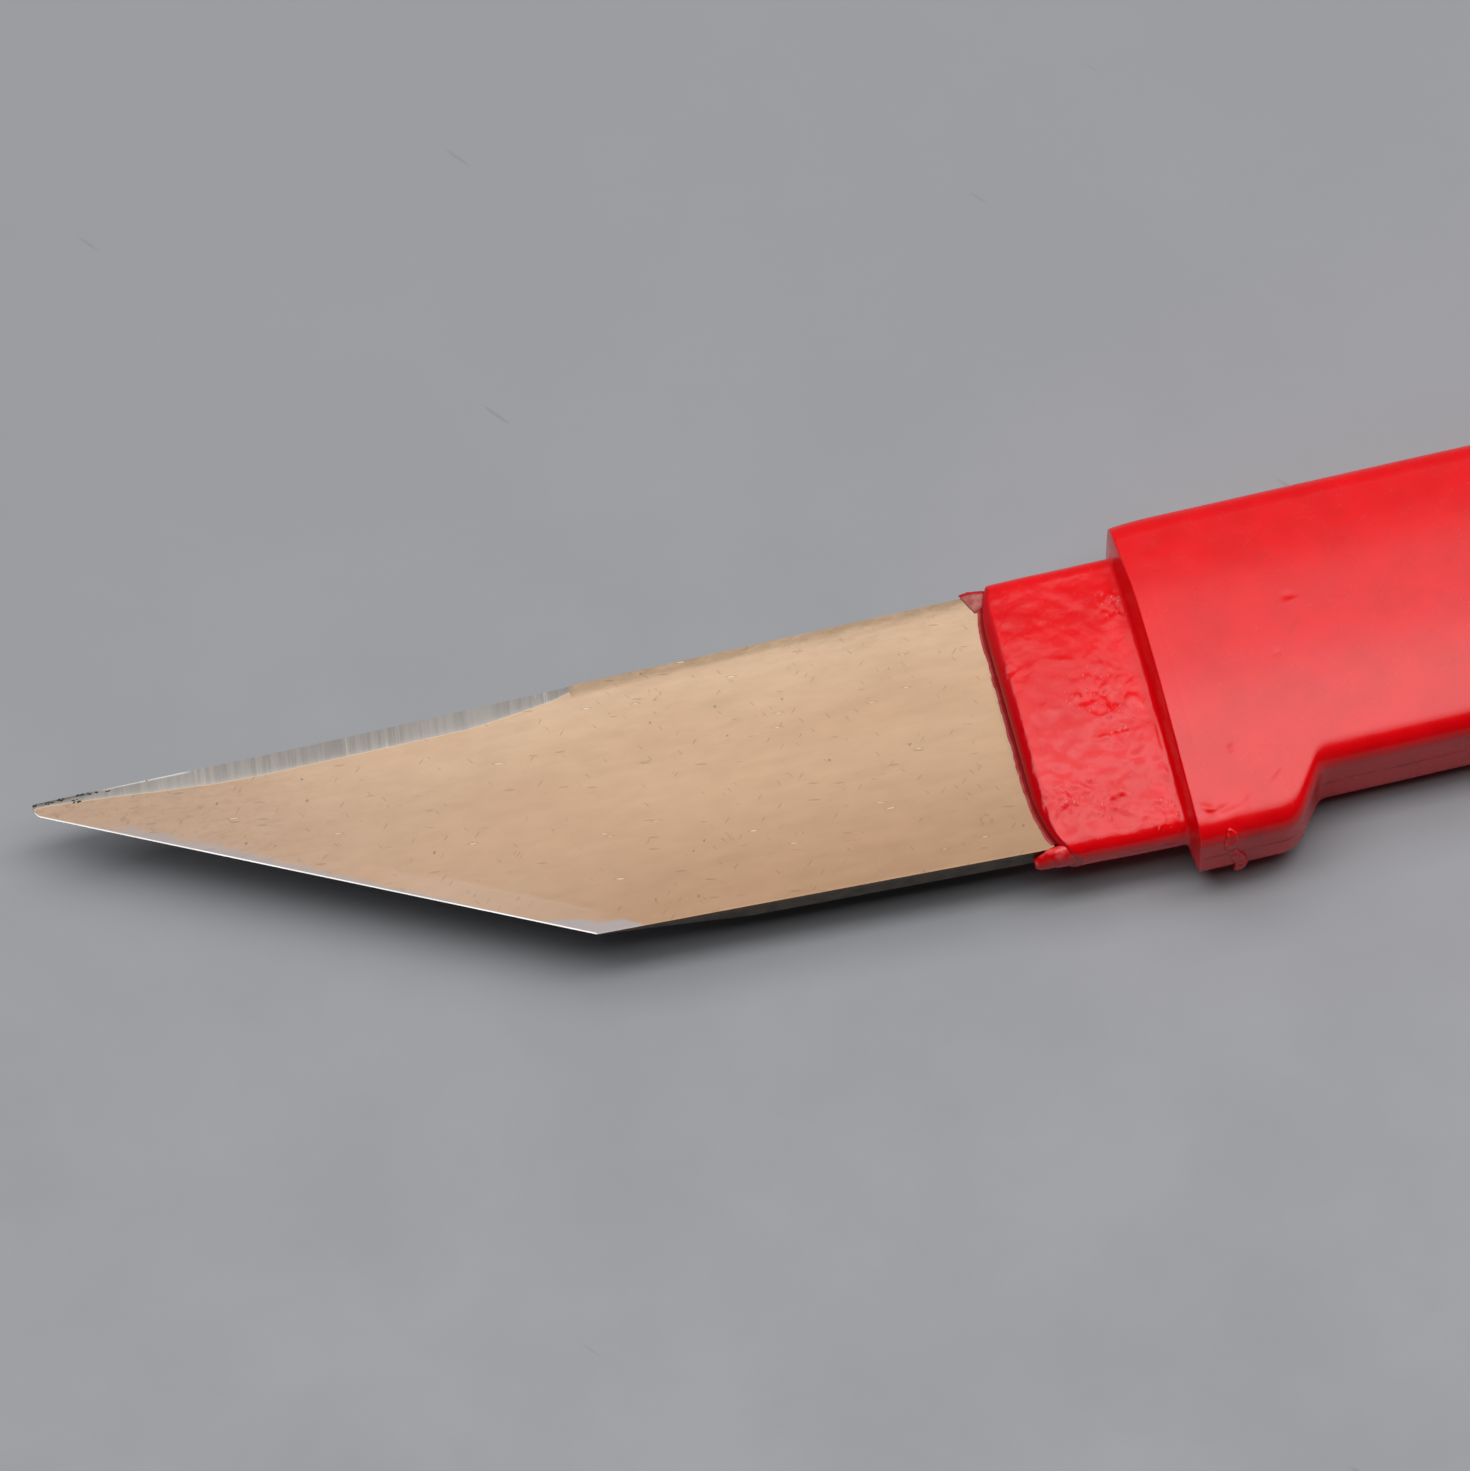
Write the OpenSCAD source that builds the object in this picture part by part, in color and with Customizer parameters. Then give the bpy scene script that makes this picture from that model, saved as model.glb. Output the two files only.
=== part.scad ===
// Marking knife with a skewed, single-bevel blade in a moulded handle.
// It lies flat: X runs from the tip to the butt, Y from the cutting edge to the spine, Z up.
// The origin is the middle of the flat land under the grip. Millimetres and degrees.

/* [Blade] */
// Length of the blade in front of the collar
blade_len = 69.9; // [55:0.1:85]
// Width of the blade where it enters the collar
blade_w = 21; // [18:0.1:21.4]
// Thickness of the laminated strip
blade_t = 1.8; // [1.4:0.05:2.2]
// Thickness of the hard steel layer on the flat face
steel_t = 0.65; // [0.6:0.05:0.9]
// Width of the blunted tip
tip_w = 0.8; // [0.4:0.1:1.5]
// Angle between the cutting edge and the handle
skew_angle = 27.2; // [24:0.1:40]
// Angle by which the spine leans away from the handle's axis
spine_lean = 0.24; // [0:0.01:1]
// Angle by which the lower edge closes towards the spine
lower_lean = 2.4; // [0:0.1:3]

/* [Grind] */
// Angle of the single bevel under the blade
bevel_angle = 19.5; // [15:0.5:30]
// Thickness that is left at the cutting edge
edge_land = 0.05; // [0.03:0.01:0.1]
// Length of the relief ground along the spine, from the tip
relief_len = 33; // [20:0.5:45]
// Width of the relief at its rear end
relief_w = 1.75; // [1:0.05:2.2]
// Width of the relief beside the tip
relief_tip_w = 0.4; // [0.3:0.05:1]
// Angle at which the relief falls away from the flat face
relief_angle = 15; // [8:1:18]
// Radius of the wheel that leaves the relief's run-out
wheel_r = 60; // [30:5:100]
// Width of the chamfer along the rest of the spine
chamfer_w = 0.9; // [0.5:0.05:1.2]
// Depth of that chamfer
chamfer_d = 0.35; // [0.2:0.05:0.55]

/* [Tang] */
// Length of the full blade width that is buried in the collar
entry_len = 2; // [1:0.1:4]
// Length of the narrow tang behind it
tang_len = 62; // [40:1:75]
// Width of the narrow tang
tang_w = 14; // [10:0.5:16]
// Diameter of each lock hole in the tang
lock_d = 5; // [3:0.5:7]
// Number of lock holes
lock_count = 2; // [1:1:3]
// Distance between lock holes
lock_pitch = 20; // [12:1:24]
// Distance from the tang's start to the first lock hole
lock_start = 18; // [10:1:20]
// Air gap that the shrunk moulding leaves round the steel
tang_gap = 0.05; // [0.02:0.01:0.1]

/* [Collar] */
// Length of the collar in front of the shoulder
collar_len = 11.4; // [8:0.1:16]
// Width of the collar at its front
collar_w = 22.75; // [22.4:0.05:23.2]
// Width that the collar gains towards the shoulder
collar_draft = 0.3; // [0:0.05:0.4]
// Height of the collar at its two sides
collar_edge_h = 3; // [2.6:0.05:3.6]
// Rise of each crowned face of the collar
collar_rise = 1.2; // [0.6:0.05:1.5]
// Rounding of the collar's long edges
collar_edge_r = 1.3; // [0.8:0.05:1.35]
// Rounding of the collar's front, seen from the side
nose_r = 1.4; // [0.8:0.05:1.5]
// Distance that the collar's front corners fall back, seen from above
nose_back = 1.3; // [0.8:0.1:3]
// Width over which each of these corners falls back
nose_corner_w = 4.5; // [2:0.1:6]
// Wall of the collar beside the blade's spine
spine_wall = 0.65; // [0.45:0.05:0.9]

/* [Grip] */
// Length of the grip behind the shoulder
grip_len = 98.7; // [80:0.1:115]
// Width of the grip
grip_w = 22.6; // [22:0.1:25]
// Height of the grip at its two sides
grip_edge_h = 7.7; // [6:0.1:8.5]
// Rise of each crowned face of the grip
grip_rise = 1.4; // [1:0.05:1.8]
// Rounding of the grip's long edges
grip_edge_r = 1.7; // [1:0.05:2]
// Depth of the flat land along the middle of each crowned face
land_d = 0.12; // [0.08:0.01:0.2]
// Distance from the collar's side to the grip's side, on the spine side
spine_step = 1.6; // [1:0.1:2]
// Lean of the shoulder's face, from its foot on the collar to its rim
shoulder_lean = 0.5; // [0.3:0.05:1]
// Rounding of the butt's corners, seen from above
butt_corner_r = 6; // [4:0.5:9]
// Rounding of the butt, seen from the side
butt_r = 2.4; // [1.5:0.1:2.6]

/* [Guard] */
// Distance that the finger guard stands out from the grip
guard_out = 3.75; // [3:0.05:5]
// Length of the guard along its outer side, to its unrounded corner
guard_len = 7.3; // [6:0.1:10]
// Angle of the guard's rear flank from square
flank_angle = 35.5; // [20:0.5:45]
// Rounding of the guard's outer corner
guard_corner_r = 2.5; // [1.5:0.1:2.8]
// Fillet between the guard's flank and the grip
guard_fillet_r = 1.2; // [1:0.1:2.8]
// Diameter of the cut-off gate stub on the guard
gate_d = 1.5; // [1:0.1:2]
// Height of the gate stub
gate_h = 0.35; // [0.2:0.05:0.6]
// Distance from the shoulder's rim to the gate stub
gate_x = 2.8; // [2:0.1:4]

/* [Hidden] */
$fn = 48;

// How far cutting tools run past what they cut
overrun = 5;
// Overlap that joins two forms of one moulding
joint_lap = 1;
// Steps of a rounded corner, of a crowned face and of a rounded end in the moulded forms
corner_steps = 5;
crown_steps = 16;
end_steps = 9;
// Share of an end's height that the edge rounding may take there
end_round_share = 0.45;
// Share by which the crowned faces flatten towards their edges
crown_flat_share = 0.38;

// Places along X
shoulder_x = -grip_len / 2;
butt_x = grip_len / 2;
collar_x = shoulder_x - collar_len;
tip_x = collar_x - blade_len;
tang_x = collar_x + entry_len;

// Places across, along Y
grip_side_y = grip_w / 2;
guard_side_y = -grip_side_y - guard_out;
collar_far_y = grip_side_y - spine_step;
spine_y = collar_far_y - spine_wall;
lower_y = spine_y - blade_w;
tang_y = (spine_y + lower_y) / 2;
tip_y = spine_y + blade_len * tan(spine_lean);

// Heights: the grip's land rests at zero, and the blade lies in the middle of the handle
middle_z = grip_edge_h / 2 + grip_rise - land_d;
grip_top_z = 2 * middle_z;
face_z = middle_z + blade_t / 2;
back_z = middle_z - blade_t / 2;

// The cutting edge, from the tip's blunt end to the heel on the leaning lower edge
edge_y = tip_y - tip_w;
edge_len = (edge_y - lower_y - blade_len * tan(lower_lean))
         / (sin(skew_angle) - cos(skew_angle) * tan(lower_lean));
heel = [tip_x + edge_len * cos(skew_angle), edge_y - edge_len * sin(skew_angle)];

// A cube larger than the whole knife, for half-space cuts
reach = blade_len + collar_len + grip_len;

// Where the relief's flat stops on the flat face, and how its boundary line turns from X
relief_end = [tip_x + relief_len, tip_y - relief_len * tan(spine_lean) - relief_w];
relief_turn = atan2((tip_y - relief_tip_w) - relief_end[1], -relief_len);

// How far a rounding that starts at distance from an end and is wide there draws in at d
function drawn_in(d, start, wide) = d >= start ? 0 : wide * (1 - sqrt(1 - pow(1 - d / start, 2)));

// Height of a crowned face over its edge, at y from its middle, for half width hw;
// past its edge the face runs on down at the slope that it has there
function crown(y, hw, rise) =
    let (t = abs(y) / hw)
    t < 1 ? rise * (1 - t * t) * (1 - crown_flat_share * t * t)
          : -2 * rise * (1 - crown_flat_share) * (t - 1);

// One closed ring of a bar at x, between near and far; the crown belongs to mid and hw
function ring(x, near, far, edge_h, edge_r, mid, hw, rise) =
    let (
        top = function (y) edge_h / 2 + crown(y - mid, hw, rise),
        far_corner = [for (k = [0:corner_steps]) let (a = 90 * k / corner_steps)
            [far - edge_r + edge_r * cos(a), top(far - edge_r) - edge_r + edge_r * sin(a)]],
        face = [for (k = [1:crown_steps - 1])
            let (y = far - edge_r + (near - far + 2 * edge_r) * k / crown_steps) [y, top(y)]],
        near_corner = [for (k = [0:corner_steps]) let (a = 90 + 90 * k / corner_steps)
            [near + edge_r + edge_r * cos(a), top(near + edge_r) - edge_r + edge_r * sin(a)]],
        upper = concat(far_corner, face, near_corner),
        lower = [for (k = [len(upper) - 1:-1:0]) [upper[k][0], -upper[k][1]]]
    )
    [for (p = concat(upper, lower)) [x, p[0], middle_z + p[1]]];

// The points of an arc that rounds an outline's corner, between two headings
function arc_points(centre, r, from, to, steps) =
    [for (k = [0:steps]) let (a = from + (to - from) * k / steps)
        centre + r * [cos(a), sin(a)]];

// The grip's near side behind the rim: the guard's outer corner, its flank and its fillet
flank_run = guard_out * tan(flank_angle);
flank_turn = 90 - flank_angle;
corner_set_back = guard_corner_r * tan(flank_turn / 2);
fillet_set_back = guard_fillet_r * tan(flank_turn / 2);
near_side = concat(
    [[0, guard_side_y]],
    arc_points([guard_len - corner_set_back, guard_side_y + guard_corner_r],
               guard_corner_r, -90, -90 + flank_turn, corner_steps),
    arc_points([guard_len + flank_run + fillet_set_back, -grip_side_y - guard_fillet_r],
               guard_fillet_r, 90 + flank_turn, 90, corner_steps)
);

// Height that the nose's rounding may take from each face at the collar's sides
nose_fall = min(nose_r, collar_edge_h * end_round_share);

// Distances from a rounded end at which a form has a ring
function end_steps_of(r) = [for (k = [0:end_steps]) r * (1 - sin(90 * k / end_steps))];

// A grip ring whose near side is given, drawn in by the butt's roundings at distance d
function grip_ring(x, near, d) =
    let (
        side_in = drawn_in(d, butt_corner_r, butt_corner_r),
        face_in = drawn_in(d, butt_r, butt_r),
        edge_h = grip_edge_h - 2 * face_in
    )
    ring(x, near + side_in, grip_side_y - side_in, edge_h,
         min(grip_edge_r, edge_h * end_round_share), 0, grip_side_y, grip_rise);

// Where the collar's near side lies at distance d behind its front
function collar_near_y(d) = collar_far_y - collar_w - collar_draft * d / collar_len;

// A collar ring at distance d behind its front, drawn in by the nose's roundings
function collar_ring(d) =
    let (
        side_in = drawn_in(d, nose_back, nose_corner_w),
        edge_h = collar_edge_h - 2 * drawn_in(d, nose_r, nose_fall),
        near = collar_near_y(d),
        mid = (near + collar_far_y) / 2
    )
    ring(collar_x + d, near + side_in, collar_far_y - side_in, edge_h,
         min(collar_edge_r, edge_h * end_round_share), mid, collar_far_y - mid, collar_rise);

// A solid skinned over rings that all have the same number of points
module skin(rings) {
    n = len(rings[0]);
    last = (len(rings) - 1) * n;
    polyhedron(
        points = [for (one = rings) each one],
        faces = concat(
            [[for (i = [n - 1:-1:0]) i]],
            [[for (i = [0:n - 1]) last + i]],
            [for (j = [0:len(rings) - 2]) for (i = [0:n - 1])
                let (a = j * n + i, b = j * n + (i + 1) % n)
                each [[a, b, b + n], [a, b + n, a + n]]]
        )
    );
}

// The moulding's outer form: collar, leaning shoulder, guard, grip and rounded butt
module handle_form() {
    collar_ends = end_steps_of(nose_back);
    skin(concat(
        [for (k = [len(collar_ends) - 1:-1:0]) collar_ring(collar_ends[k])],
        [collar_ring(collar_len - shoulder_lean)],
        [for (p = near_side) grip_ring(shoulder_x + p[0], p[1], grip_len - p[0])],
        [for (d = end_steps_of(butt_corner_r)) grip_ring(butt_x - d, -grip_side_y, d)]
    ));
}

// Stub where the moulding was cut from its runner, in the middle of the guard's side
module gate_stub() {
    translate([shoulder_x + gate_x, guard_side_y + joint_lap, middle_z])
        rotate([90, 0, 0])
            cylinder(d = gate_d, h = gate_h + joint_lap);
}

// The flat lands along the crowned faces: what lies beyond them is cut away
module beyond_lands() {
    for (z = [-reach, grip_top_z])
        translate([-reach / 2, -reach / 2, z])
            cube(reach);
}

// Outline of the buried end of the strip, with a gap all round it
module buried_plan(gap) {
    difference() {
        union() {
            translate([collar_x - overrun, lower_y - gap])
                square([overrun + entry_len + gap, blade_w + 2 * gap]);
            translate([tang_x - joint_lap, tang_y - tang_w / 2 - gap])
                square([joint_lap + tang_len + gap, tang_w + 2 * gap]);
        }
        for (k = [0:lock_count - 1])
            translate([tang_x + lock_start + k * lock_pitch, tang_y])
                circle(d = lock_d - 2 * gap);
    }
}

// The socket that the moulding forms round the tang; its plugs fill the lock holes
module tang_socket() {
    translate([0, 0, back_z - tang_gap])
        linear_extrude(blade_t + 2 * tang_gap)
            buried_plan(tang_gap);
}

// Outline of the whole strip: the skewed blade in front and the tang behind
module strip_plan() {
    polygon([
        [tip_x, tip_y],
        [tip_x, edge_y],
        heel,
        [collar_x, lower_y],
        [collar_x, spine_y]
    ]);
    intersection() {
        buried_plan(0);
        translate([collar_x, -reach / 2])
            square(reach);
    }
}

// Everything under the single bevel, which rises to the cutting edge
module under_bevel() {
    translate([tip_x, edge_y, face_z - edge_land])
        rotate([0, 0, -skew_angle])
            rotate([-bevel_angle, 0, 0])
                translate([-reach / 2, -reach / 2, -reach])
                    cube(reach);
}

// The grinding wheel's path along the spine: a flat from the tip, then the wheel's own curve
module relief_grind() {
    translate([relief_end[0], relief_end[1], face_z])
        rotate([0, 0, relief_turn + 180])
            rotate([-relief_angle, 0, 0])
                rotate([90, 0, 0])
                    linear_extrude(4 * overrun, center = true) {
                        translate([-relief_len - overrun, 0])
                            square([relief_len + overrun, 2 * overrun]);
                        intersection() {
                            translate([0, wheel_r])
                                circle(r = wheel_r, $fn = 180);
                            square([wheel_r, 2 * overrun]);
                        }
                    }
}

// The chamfer along the spine's upper edge
module spine_chamfer() {
    translate([collar_x, spine_y - chamfer_w, face_z])
        rotate([0, 0, -spine_lean])
            rotate([-atan2(chamfer_d, chamfer_w), 0, 0])
                translate([-blade_len - overrun, 0, 0])
                    cube([blade_len + overrun, 2 * overrun, overrun]);
}

// One layer of the ground strip, between two heights
module strip_layer(low_z, high_z) {
    difference() {
        translate([0, 0, low_z])
            linear_extrude(high_z - low_z)
                strip_plan();
        under_bevel();
        relief_grind();
        spine_chamfer();
    }
}

// The moulded handle: grip, guard and collar in one piece, with plugs through the tang
module handle() {
    color("#e0202c")
        difference() {
            union() {
                handle_form();
                gate_stub();
            }
            beyond_lands();
            tang_socket();
        }
}

// Soft iron back of the blade, which carries the bevel and most of the tang
module soft_iron_body() {
    color("#6f6b66")
        strip_layer(back_z, face_z - steel_t);
}

// Hard steel face of the blade, forge-welded on the iron; its rim is the cutting edge
module edge_steel() {
    color("#cfa883")
        strip_layer(face_z - steel_t, face_z);
}

handle();
soft_iron_body();
edge_steel();
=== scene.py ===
"""Marking knife on a pale floor: a red moulded handle and a lacquered, skew-ground blade."""
from math import cos, pi, radians, sin, sqrt, tan
import bmesh
import bpy
import numpy as np
from mathutils import Matrix, Vector, noise


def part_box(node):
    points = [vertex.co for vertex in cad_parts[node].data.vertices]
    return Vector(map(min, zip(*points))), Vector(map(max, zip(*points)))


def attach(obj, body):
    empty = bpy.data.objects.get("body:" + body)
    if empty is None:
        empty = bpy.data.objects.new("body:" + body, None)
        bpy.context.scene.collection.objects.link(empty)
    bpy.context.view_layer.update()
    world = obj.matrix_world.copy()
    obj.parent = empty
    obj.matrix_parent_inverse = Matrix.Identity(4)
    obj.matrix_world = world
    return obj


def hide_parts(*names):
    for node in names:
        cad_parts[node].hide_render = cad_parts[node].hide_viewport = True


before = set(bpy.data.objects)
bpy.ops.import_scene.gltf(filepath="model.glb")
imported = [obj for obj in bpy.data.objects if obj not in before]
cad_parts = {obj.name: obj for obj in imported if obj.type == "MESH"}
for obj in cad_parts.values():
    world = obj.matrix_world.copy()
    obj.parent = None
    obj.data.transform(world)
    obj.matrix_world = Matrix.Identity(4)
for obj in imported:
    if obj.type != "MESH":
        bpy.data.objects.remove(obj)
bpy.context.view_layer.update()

MM = 0.001
PHOTO_WIDTH = 1470

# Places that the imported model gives, in millimetres


def box_mm(node):
    low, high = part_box(node)
    return np.array(low) / MM, np.array(high) / MM


handle_low, handle_high = box_mm("handle")
steel_low, steel_high = box_mm("edge_steel")

COLLAR_X = handle_low[0]
BUTT_X = handle_high[0]
GRIP_SIDE = handle_high[1]
TIP_X = steel_low[0]
TIP_Y = steel_high[1]
TANG_END_X = steel_high[0]
MIDDLE_Z = handle_high[2] / 2
FACE_Z = steel_high[2]
STEEL_BACK_Z = steel_low[2]

# Handle sizes in millimetres
COLLAR_LEN = 11.4
COLLAR_W = 22.75
COLLAR_DRAFT = 0.3
COLLAR_EDGE_H = 3
COLLAR_RISE = 1.2
COLLAR_EDGE_R = 1.3
# The rounded nose stands back behind the edge of flash at the collar's front
NOSE_SET_BACK = 0.48
NOSE_R = 1.02
# How far the nose falls back at the collar's near and far corners, and over what widths
NOSE_BACK = (2.5, 1.5)
NOSE_CORNER_W = (6, 5)
NOSE_END = 3.3
SPINE_STEP = 1.6
SHOULDER_LEAN = 0.5
FOOT_FILLET = 0.3
RIM_ROUND = 0.08
# How far the rim stands forward of the shoulder's plane along most of it and at the far side
RIM_LEAN = (0.04, 0.33)
RIM_LEAN_START = 4
GRIP_EDGE_H = 7.7
GRIP_RISE = MIDDLE_Z - GRIP_EDGE_H / 2
GRIP_EDGE_R = 1.7
SIDE_BARREL = 0.15
CROWN_FLAT = 0.38
CORNER_INSET = 0.22
CORNER_INSET_LEN = 3
GUARD_OUT = 3.75
GUARD_LEN = 7.3
FLANK_ANGLE = radians(35.5)
GUARD_CORNER_R = 2.5
GUARD_FILLET_R = 1.2
BUTT_CORNER_R = 6
BUTT_R = 2.4

SHOULDER_X = COLLAR_X + COLLAR_LEN
GRIP_LEN = BUTT_X - SHOULDER_X
COLLAR_FAR = GRIP_SIDE - SPINE_STEP
GUARD_SIDE = -GRIP_SIDE - GUARD_OUT

# Blade sizes in millimetres
BLADE_W = 21
BLADE_T = 1.8
SPINE_WALL = 0.65
TIP_W = 1
SKEW = radians(26.9)
SPINE_LEAN = radians(0.24)
LOWER_LEAN = radians(2.4)
BEVEL = radians(19.5)
EDGE_LAND = 0.05
ENTRY_LEN = 2
TANG_W = 14
TANG_GAP = 0.05

SPINE_Y = COLLAR_FAR - SPINE_WALL
LOWER_Y = SPINE_Y - BLADE_W
TANG_X = COLLAR_X + ENTRY_LEN
EDGE_Y = TIP_Y - TIP_W

# Mesh helpers

# Distances in millimetres under which points merge and a face counts as empty
MERGE_DIST = 0.002
EMPTY_DIST = 0.001


def new_piece(name, points, faces, materials, sharp, face_materials=None, masks=None):
    """A piece from points in millimetres, with masks kept as attributes of its points."""
    mesh = bpy.data.meshes.new(name)
    mesh.from_pydata((np.asarray(points) * MM).tolist(), [], faces)
    for material in materials:
        mesh.materials.append(material)
    if face_materials is not None:
        mesh.polygons.foreach_set("material_index", face_materials)
    for key, values in (masks or {}).items():
        mesh.attributes.new(key, "FLOAT", "POINT").data.foreach_set("value", np.ravel(values))
    mesh.polygons.foreach_set("use_smooth", [True] * len(mesh.polygons))
    clean(mesh)
    mesh.set_sharp_from_angle(angle=radians(sharp))
    return add_object(name, mesh)


def add_object(name, data):
    thing = bpy.data.objects.new(name, data)
    bpy.context.scene.collection.objects.link(thing)
    return thing


def clean(mesh):
    """Merges points that meet, drops faces without area and turns all faces outward."""
    work = bmesh.new()
    work.from_mesh(mesh)
    bmesh.ops.remove_doubles(work, verts=work.verts, dist=MERGE_DIST * MM)
    bmesh.ops.dissolve_degenerate(work, edges=work.edges, dist=EMPTY_DIST * MM)
    bmesh.ops.recalc_face_normals(work, faces=work.faces)
    work.to_mesh(mesh)
    work.free()
    mesh.update()


def loft(rings):
    """The points of closed rings, and the quads between them with a cap on each end."""
    count, size = rings.shape[:2]
    row, column = np.arange(count - 1)[:, None] * size, np.arange(size)[None, :]
    first, after = row + column, row + (column + 1) % size
    quads = np.stack([first, after, after + size, first + size], axis=-1).reshape(-1, 4)
    caps = [list(range(size - 1, -1, -1)), list(range((count - 1) * size, count * size))]
    return rings.reshape(-1, 3), quads.tolist() + caps


def bezier(a, b, c, t):
    return (1 - t) ** 2 * a + 2 * t * (1 - t) * b + t ** 2 * c


def ease(low, high, value):
    """Runs smoothly from 0 to 1 while the value runs from low to high."""
    t = np.clip((value - low) / (high - low), 0, 1)
    return t * t * (3 - 2 * t)


def window(value, start, end, fade):
    """1 between start and end and 0 outside, with soft bounds."""
    return ease(start - fade, start + fade, value) * (1 - ease(end - fade, end + fade, value))


def read_table(value, table):
    """The second number of a table's rows where the first is value, straight between the rows."""
    return np.interp(value, *zip(*table))


def lumps(points, size, shift=0):
    """Smooth noise between -1 and 1 at each point, with lumps of about the given size."""
    step = Vector((shift, 1.7 * shift, 2.3 * shift))
    return np.array([noise.noise(Vector(p) / size + step) for p in points])


def point_normals(points, faces):
    """The outward direction at each point of a closed surface."""
    mesh = bpy.data.meshes.new("normals")
    mesh.from_pydata(points.tolist(), [], faces)
    mesh.update()
    normals = np.empty(len(points) * 3)
    mesh.vertex_normals.foreach_get("vector", normals)
    bpy.data.meshes.remove(mesh)
    return normals.reshape(-1, 3)


# Material helpers


def shader_node(tree, kind, inputs=None, **settings):
    """One node with its settings; an input is a value or another node's output."""
    node = tree.nodes.new(kind)
    for key, value in settings.items():
        setattr(node, key, value)
    set_sockets(node, inputs or {})
    return node


def set_sockets(node, inputs):
    """Gives a node's inputs a value or a link each."""
    for key, value in inputs.items():
        socket = node.inputs[key.replace("_", " ") if isinstance(key, str) else key]
        if isinstance(value, bpy.types.NodeSocket):
            node.id_data.links.new(value, socket)
        else:
            socket.default_value = value


def math_node(operation, *values):
    tree = next(value.id_data for value in values if isinstance(value, bpy.types.NodeSocket))
    return shader_node(tree, "ShaderNodeMath", dict(enumerate(values)), operation=operation).outputs[0]


def times(first, second):
    return math_node("MULTIPLY", first, second)


def minus(first, second):
    return math_node("SUBTRACT", first, second)


def add_scaled(value, amount, rest):
    """The rest plus the value times the amount."""
    return math_node("MULTIPLY_ADD", value, amount, rest)


def vector_math(operation, *values):
    inputs = dict(enumerate(values))
    return shader_node(values[0].id_data, "ShaderNodeVectorMath", inputs, operation=operation).outputs[0]


def ramp(value, low, high, to_low=0, to_high=1):
    """A smooth run from to_low to to_high while the value runs from low to high."""
    inputs = {0: value, 1: low, 2: high, 3: to_low, 4: to_high}
    node = shader_node(value.id_data, "ShaderNodeMapRange", inputs, interpolation_type="SMOOTHSTEP")
    return node.outputs[0]


def mix_colour(factor, first, second):
    inputs = {0: factor, 6: first, 7: second}
    return shader_node(factor.id_data, "ShaderNodeMix", inputs, data_type="RGBA").outputs[2]


def tinted(base, *tints):
    """The base colour under one tint after another: each a mask or its name, a strength and a tone."""
    for mask, strength, tone in tints:
        mask = mask_value(base.id_data, mask) if isinstance(mask, str) else mask
        base = mix_colour(mask if strength == 1 else times(mask, strength), base, tone)
    return base


def mask_value(tree, name):
    return shader_node(tree, "ShaderNodeAttribute", attribute_name=name).outputs["Fac"]


def place_mm(tree, turn=0, stretch=(1, 1, 1)):
    """Object coordinates in millimetres, turned about Z and then stretched."""
    coords = shader_node(tree, "ShaderNodeTexCoord").outputs["Object"]
    inputs = {0: coords, 2: (0, 0, turn), 3: (1 / MM,) * 3}
    turned = shader_node(tree, "ShaderNodeMapping", inputs).outputs[0]
    return vector_math("MULTIPLY", turned, stretch)


def noise_value(place, scale, detail=2, rough=0.5, warp=0):
    inputs = dict(Vector=place, Scale=scale, Detail=detail, Roughness=rough, Distortion=warp)
    return shader_node(place.id_data, "ShaderNodeTexNoise", inputs).outputs[0]


def colour(red, green, blue):
    """A linear colour from its screen values between 0 and 255."""
    def line(value):
        value = value / 255
        return value / 12.92 if value < 0.04045 else ((value + 0.055) / 1.055) ** 2.4
    return line(red), line(green), line(blue), 1


def new_group(name, values, outputs):
    """A shader node group with a place, the given float inputs and the given float outputs."""
    group = bpy.data.node_groups.new(name, "ShaderNodeTree")
    group.interface.new_socket("Place", in_out="INPUT", socket_type="NodeSocketVector")
    for label, value in values.items():
        socket = group.interface.new_socket(label, in_out="INPUT", socket_type="NodeSocketFloat")
        socket.default_value = value
    for label in outputs:
        group.interface.new_socket(label, in_out="OUTPUT", socket_type="NodeSocketFloat")
    entry = group.nodes.new("NodeGroupInput")
    end = group.nodes.new("NodeGroupOutput")
    return group, entry.outputs, end.inputs


def use_group(group, place, **inputs):
    node = place.id_data.nodes.new("ShaderNodeGroup")
    node.node_tree = group
    set_sockets(node, dict(inputs, Place=place))
    return node.outputs


# How far a speck's outline wanders, and the widths of its disc and its ring as shares of its size
SPECK_WARP = 0.35
SPECK_DISC = (1, 0.55)
SPECK_RING_OUTSIDE = (1.5, 1.1)
SPECK_RING_INSIDE = (0.7, 1)
# How strongly grinding lines are drawn out, and the scale of the broad ones beside the fine ones
GRIND_STRETCH = (1, 0.03, 0.03)
GRIND_BROAD = 0.22


def make_specks():
    """Small irregular specks, such as pits, crumbs or short scratches, with a ring round each."""
    group, given, out = new_group("specks", {"Scale": 1, "Size": 0.1, "Cover": 0.2}, ("Disc", "Ring"))
    place = given["Place"]
    bend = shader_node(group, "ShaderNodeTexNoise", {"Vector": place, "Scale": 2}).outputs[1]
    bent = vector_math("MULTIPLY_ADD", bend, (SPECK_WARP,) * 3, place)
    cells = shader_node(group, "ShaderNodeTexVoronoi", {"Vector": bent, "Scale": given["Scale"]})
    reach = math_node("DIVIDE", cells.outputs["Distance"], given["Size"])
    pick = shader_node(group, "ShaderNodeSeparateColor", {0: cells.outputs["Color"]}).outputs[0]
    kept = math_node("LESS_THAN", pick, given["Cover"])
    disc = ramp(reach, *SPECK_DISC)
    ring = times(ramp(reach, *SPECK_RING_OUTSIDE), ramp(reach, *SPECK_RING_INSIDE))
    group.links.new(times(disc, kept), out["Disc"])
    group.links.new(times(ring, kept), out["Ring"])
    return group


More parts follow.
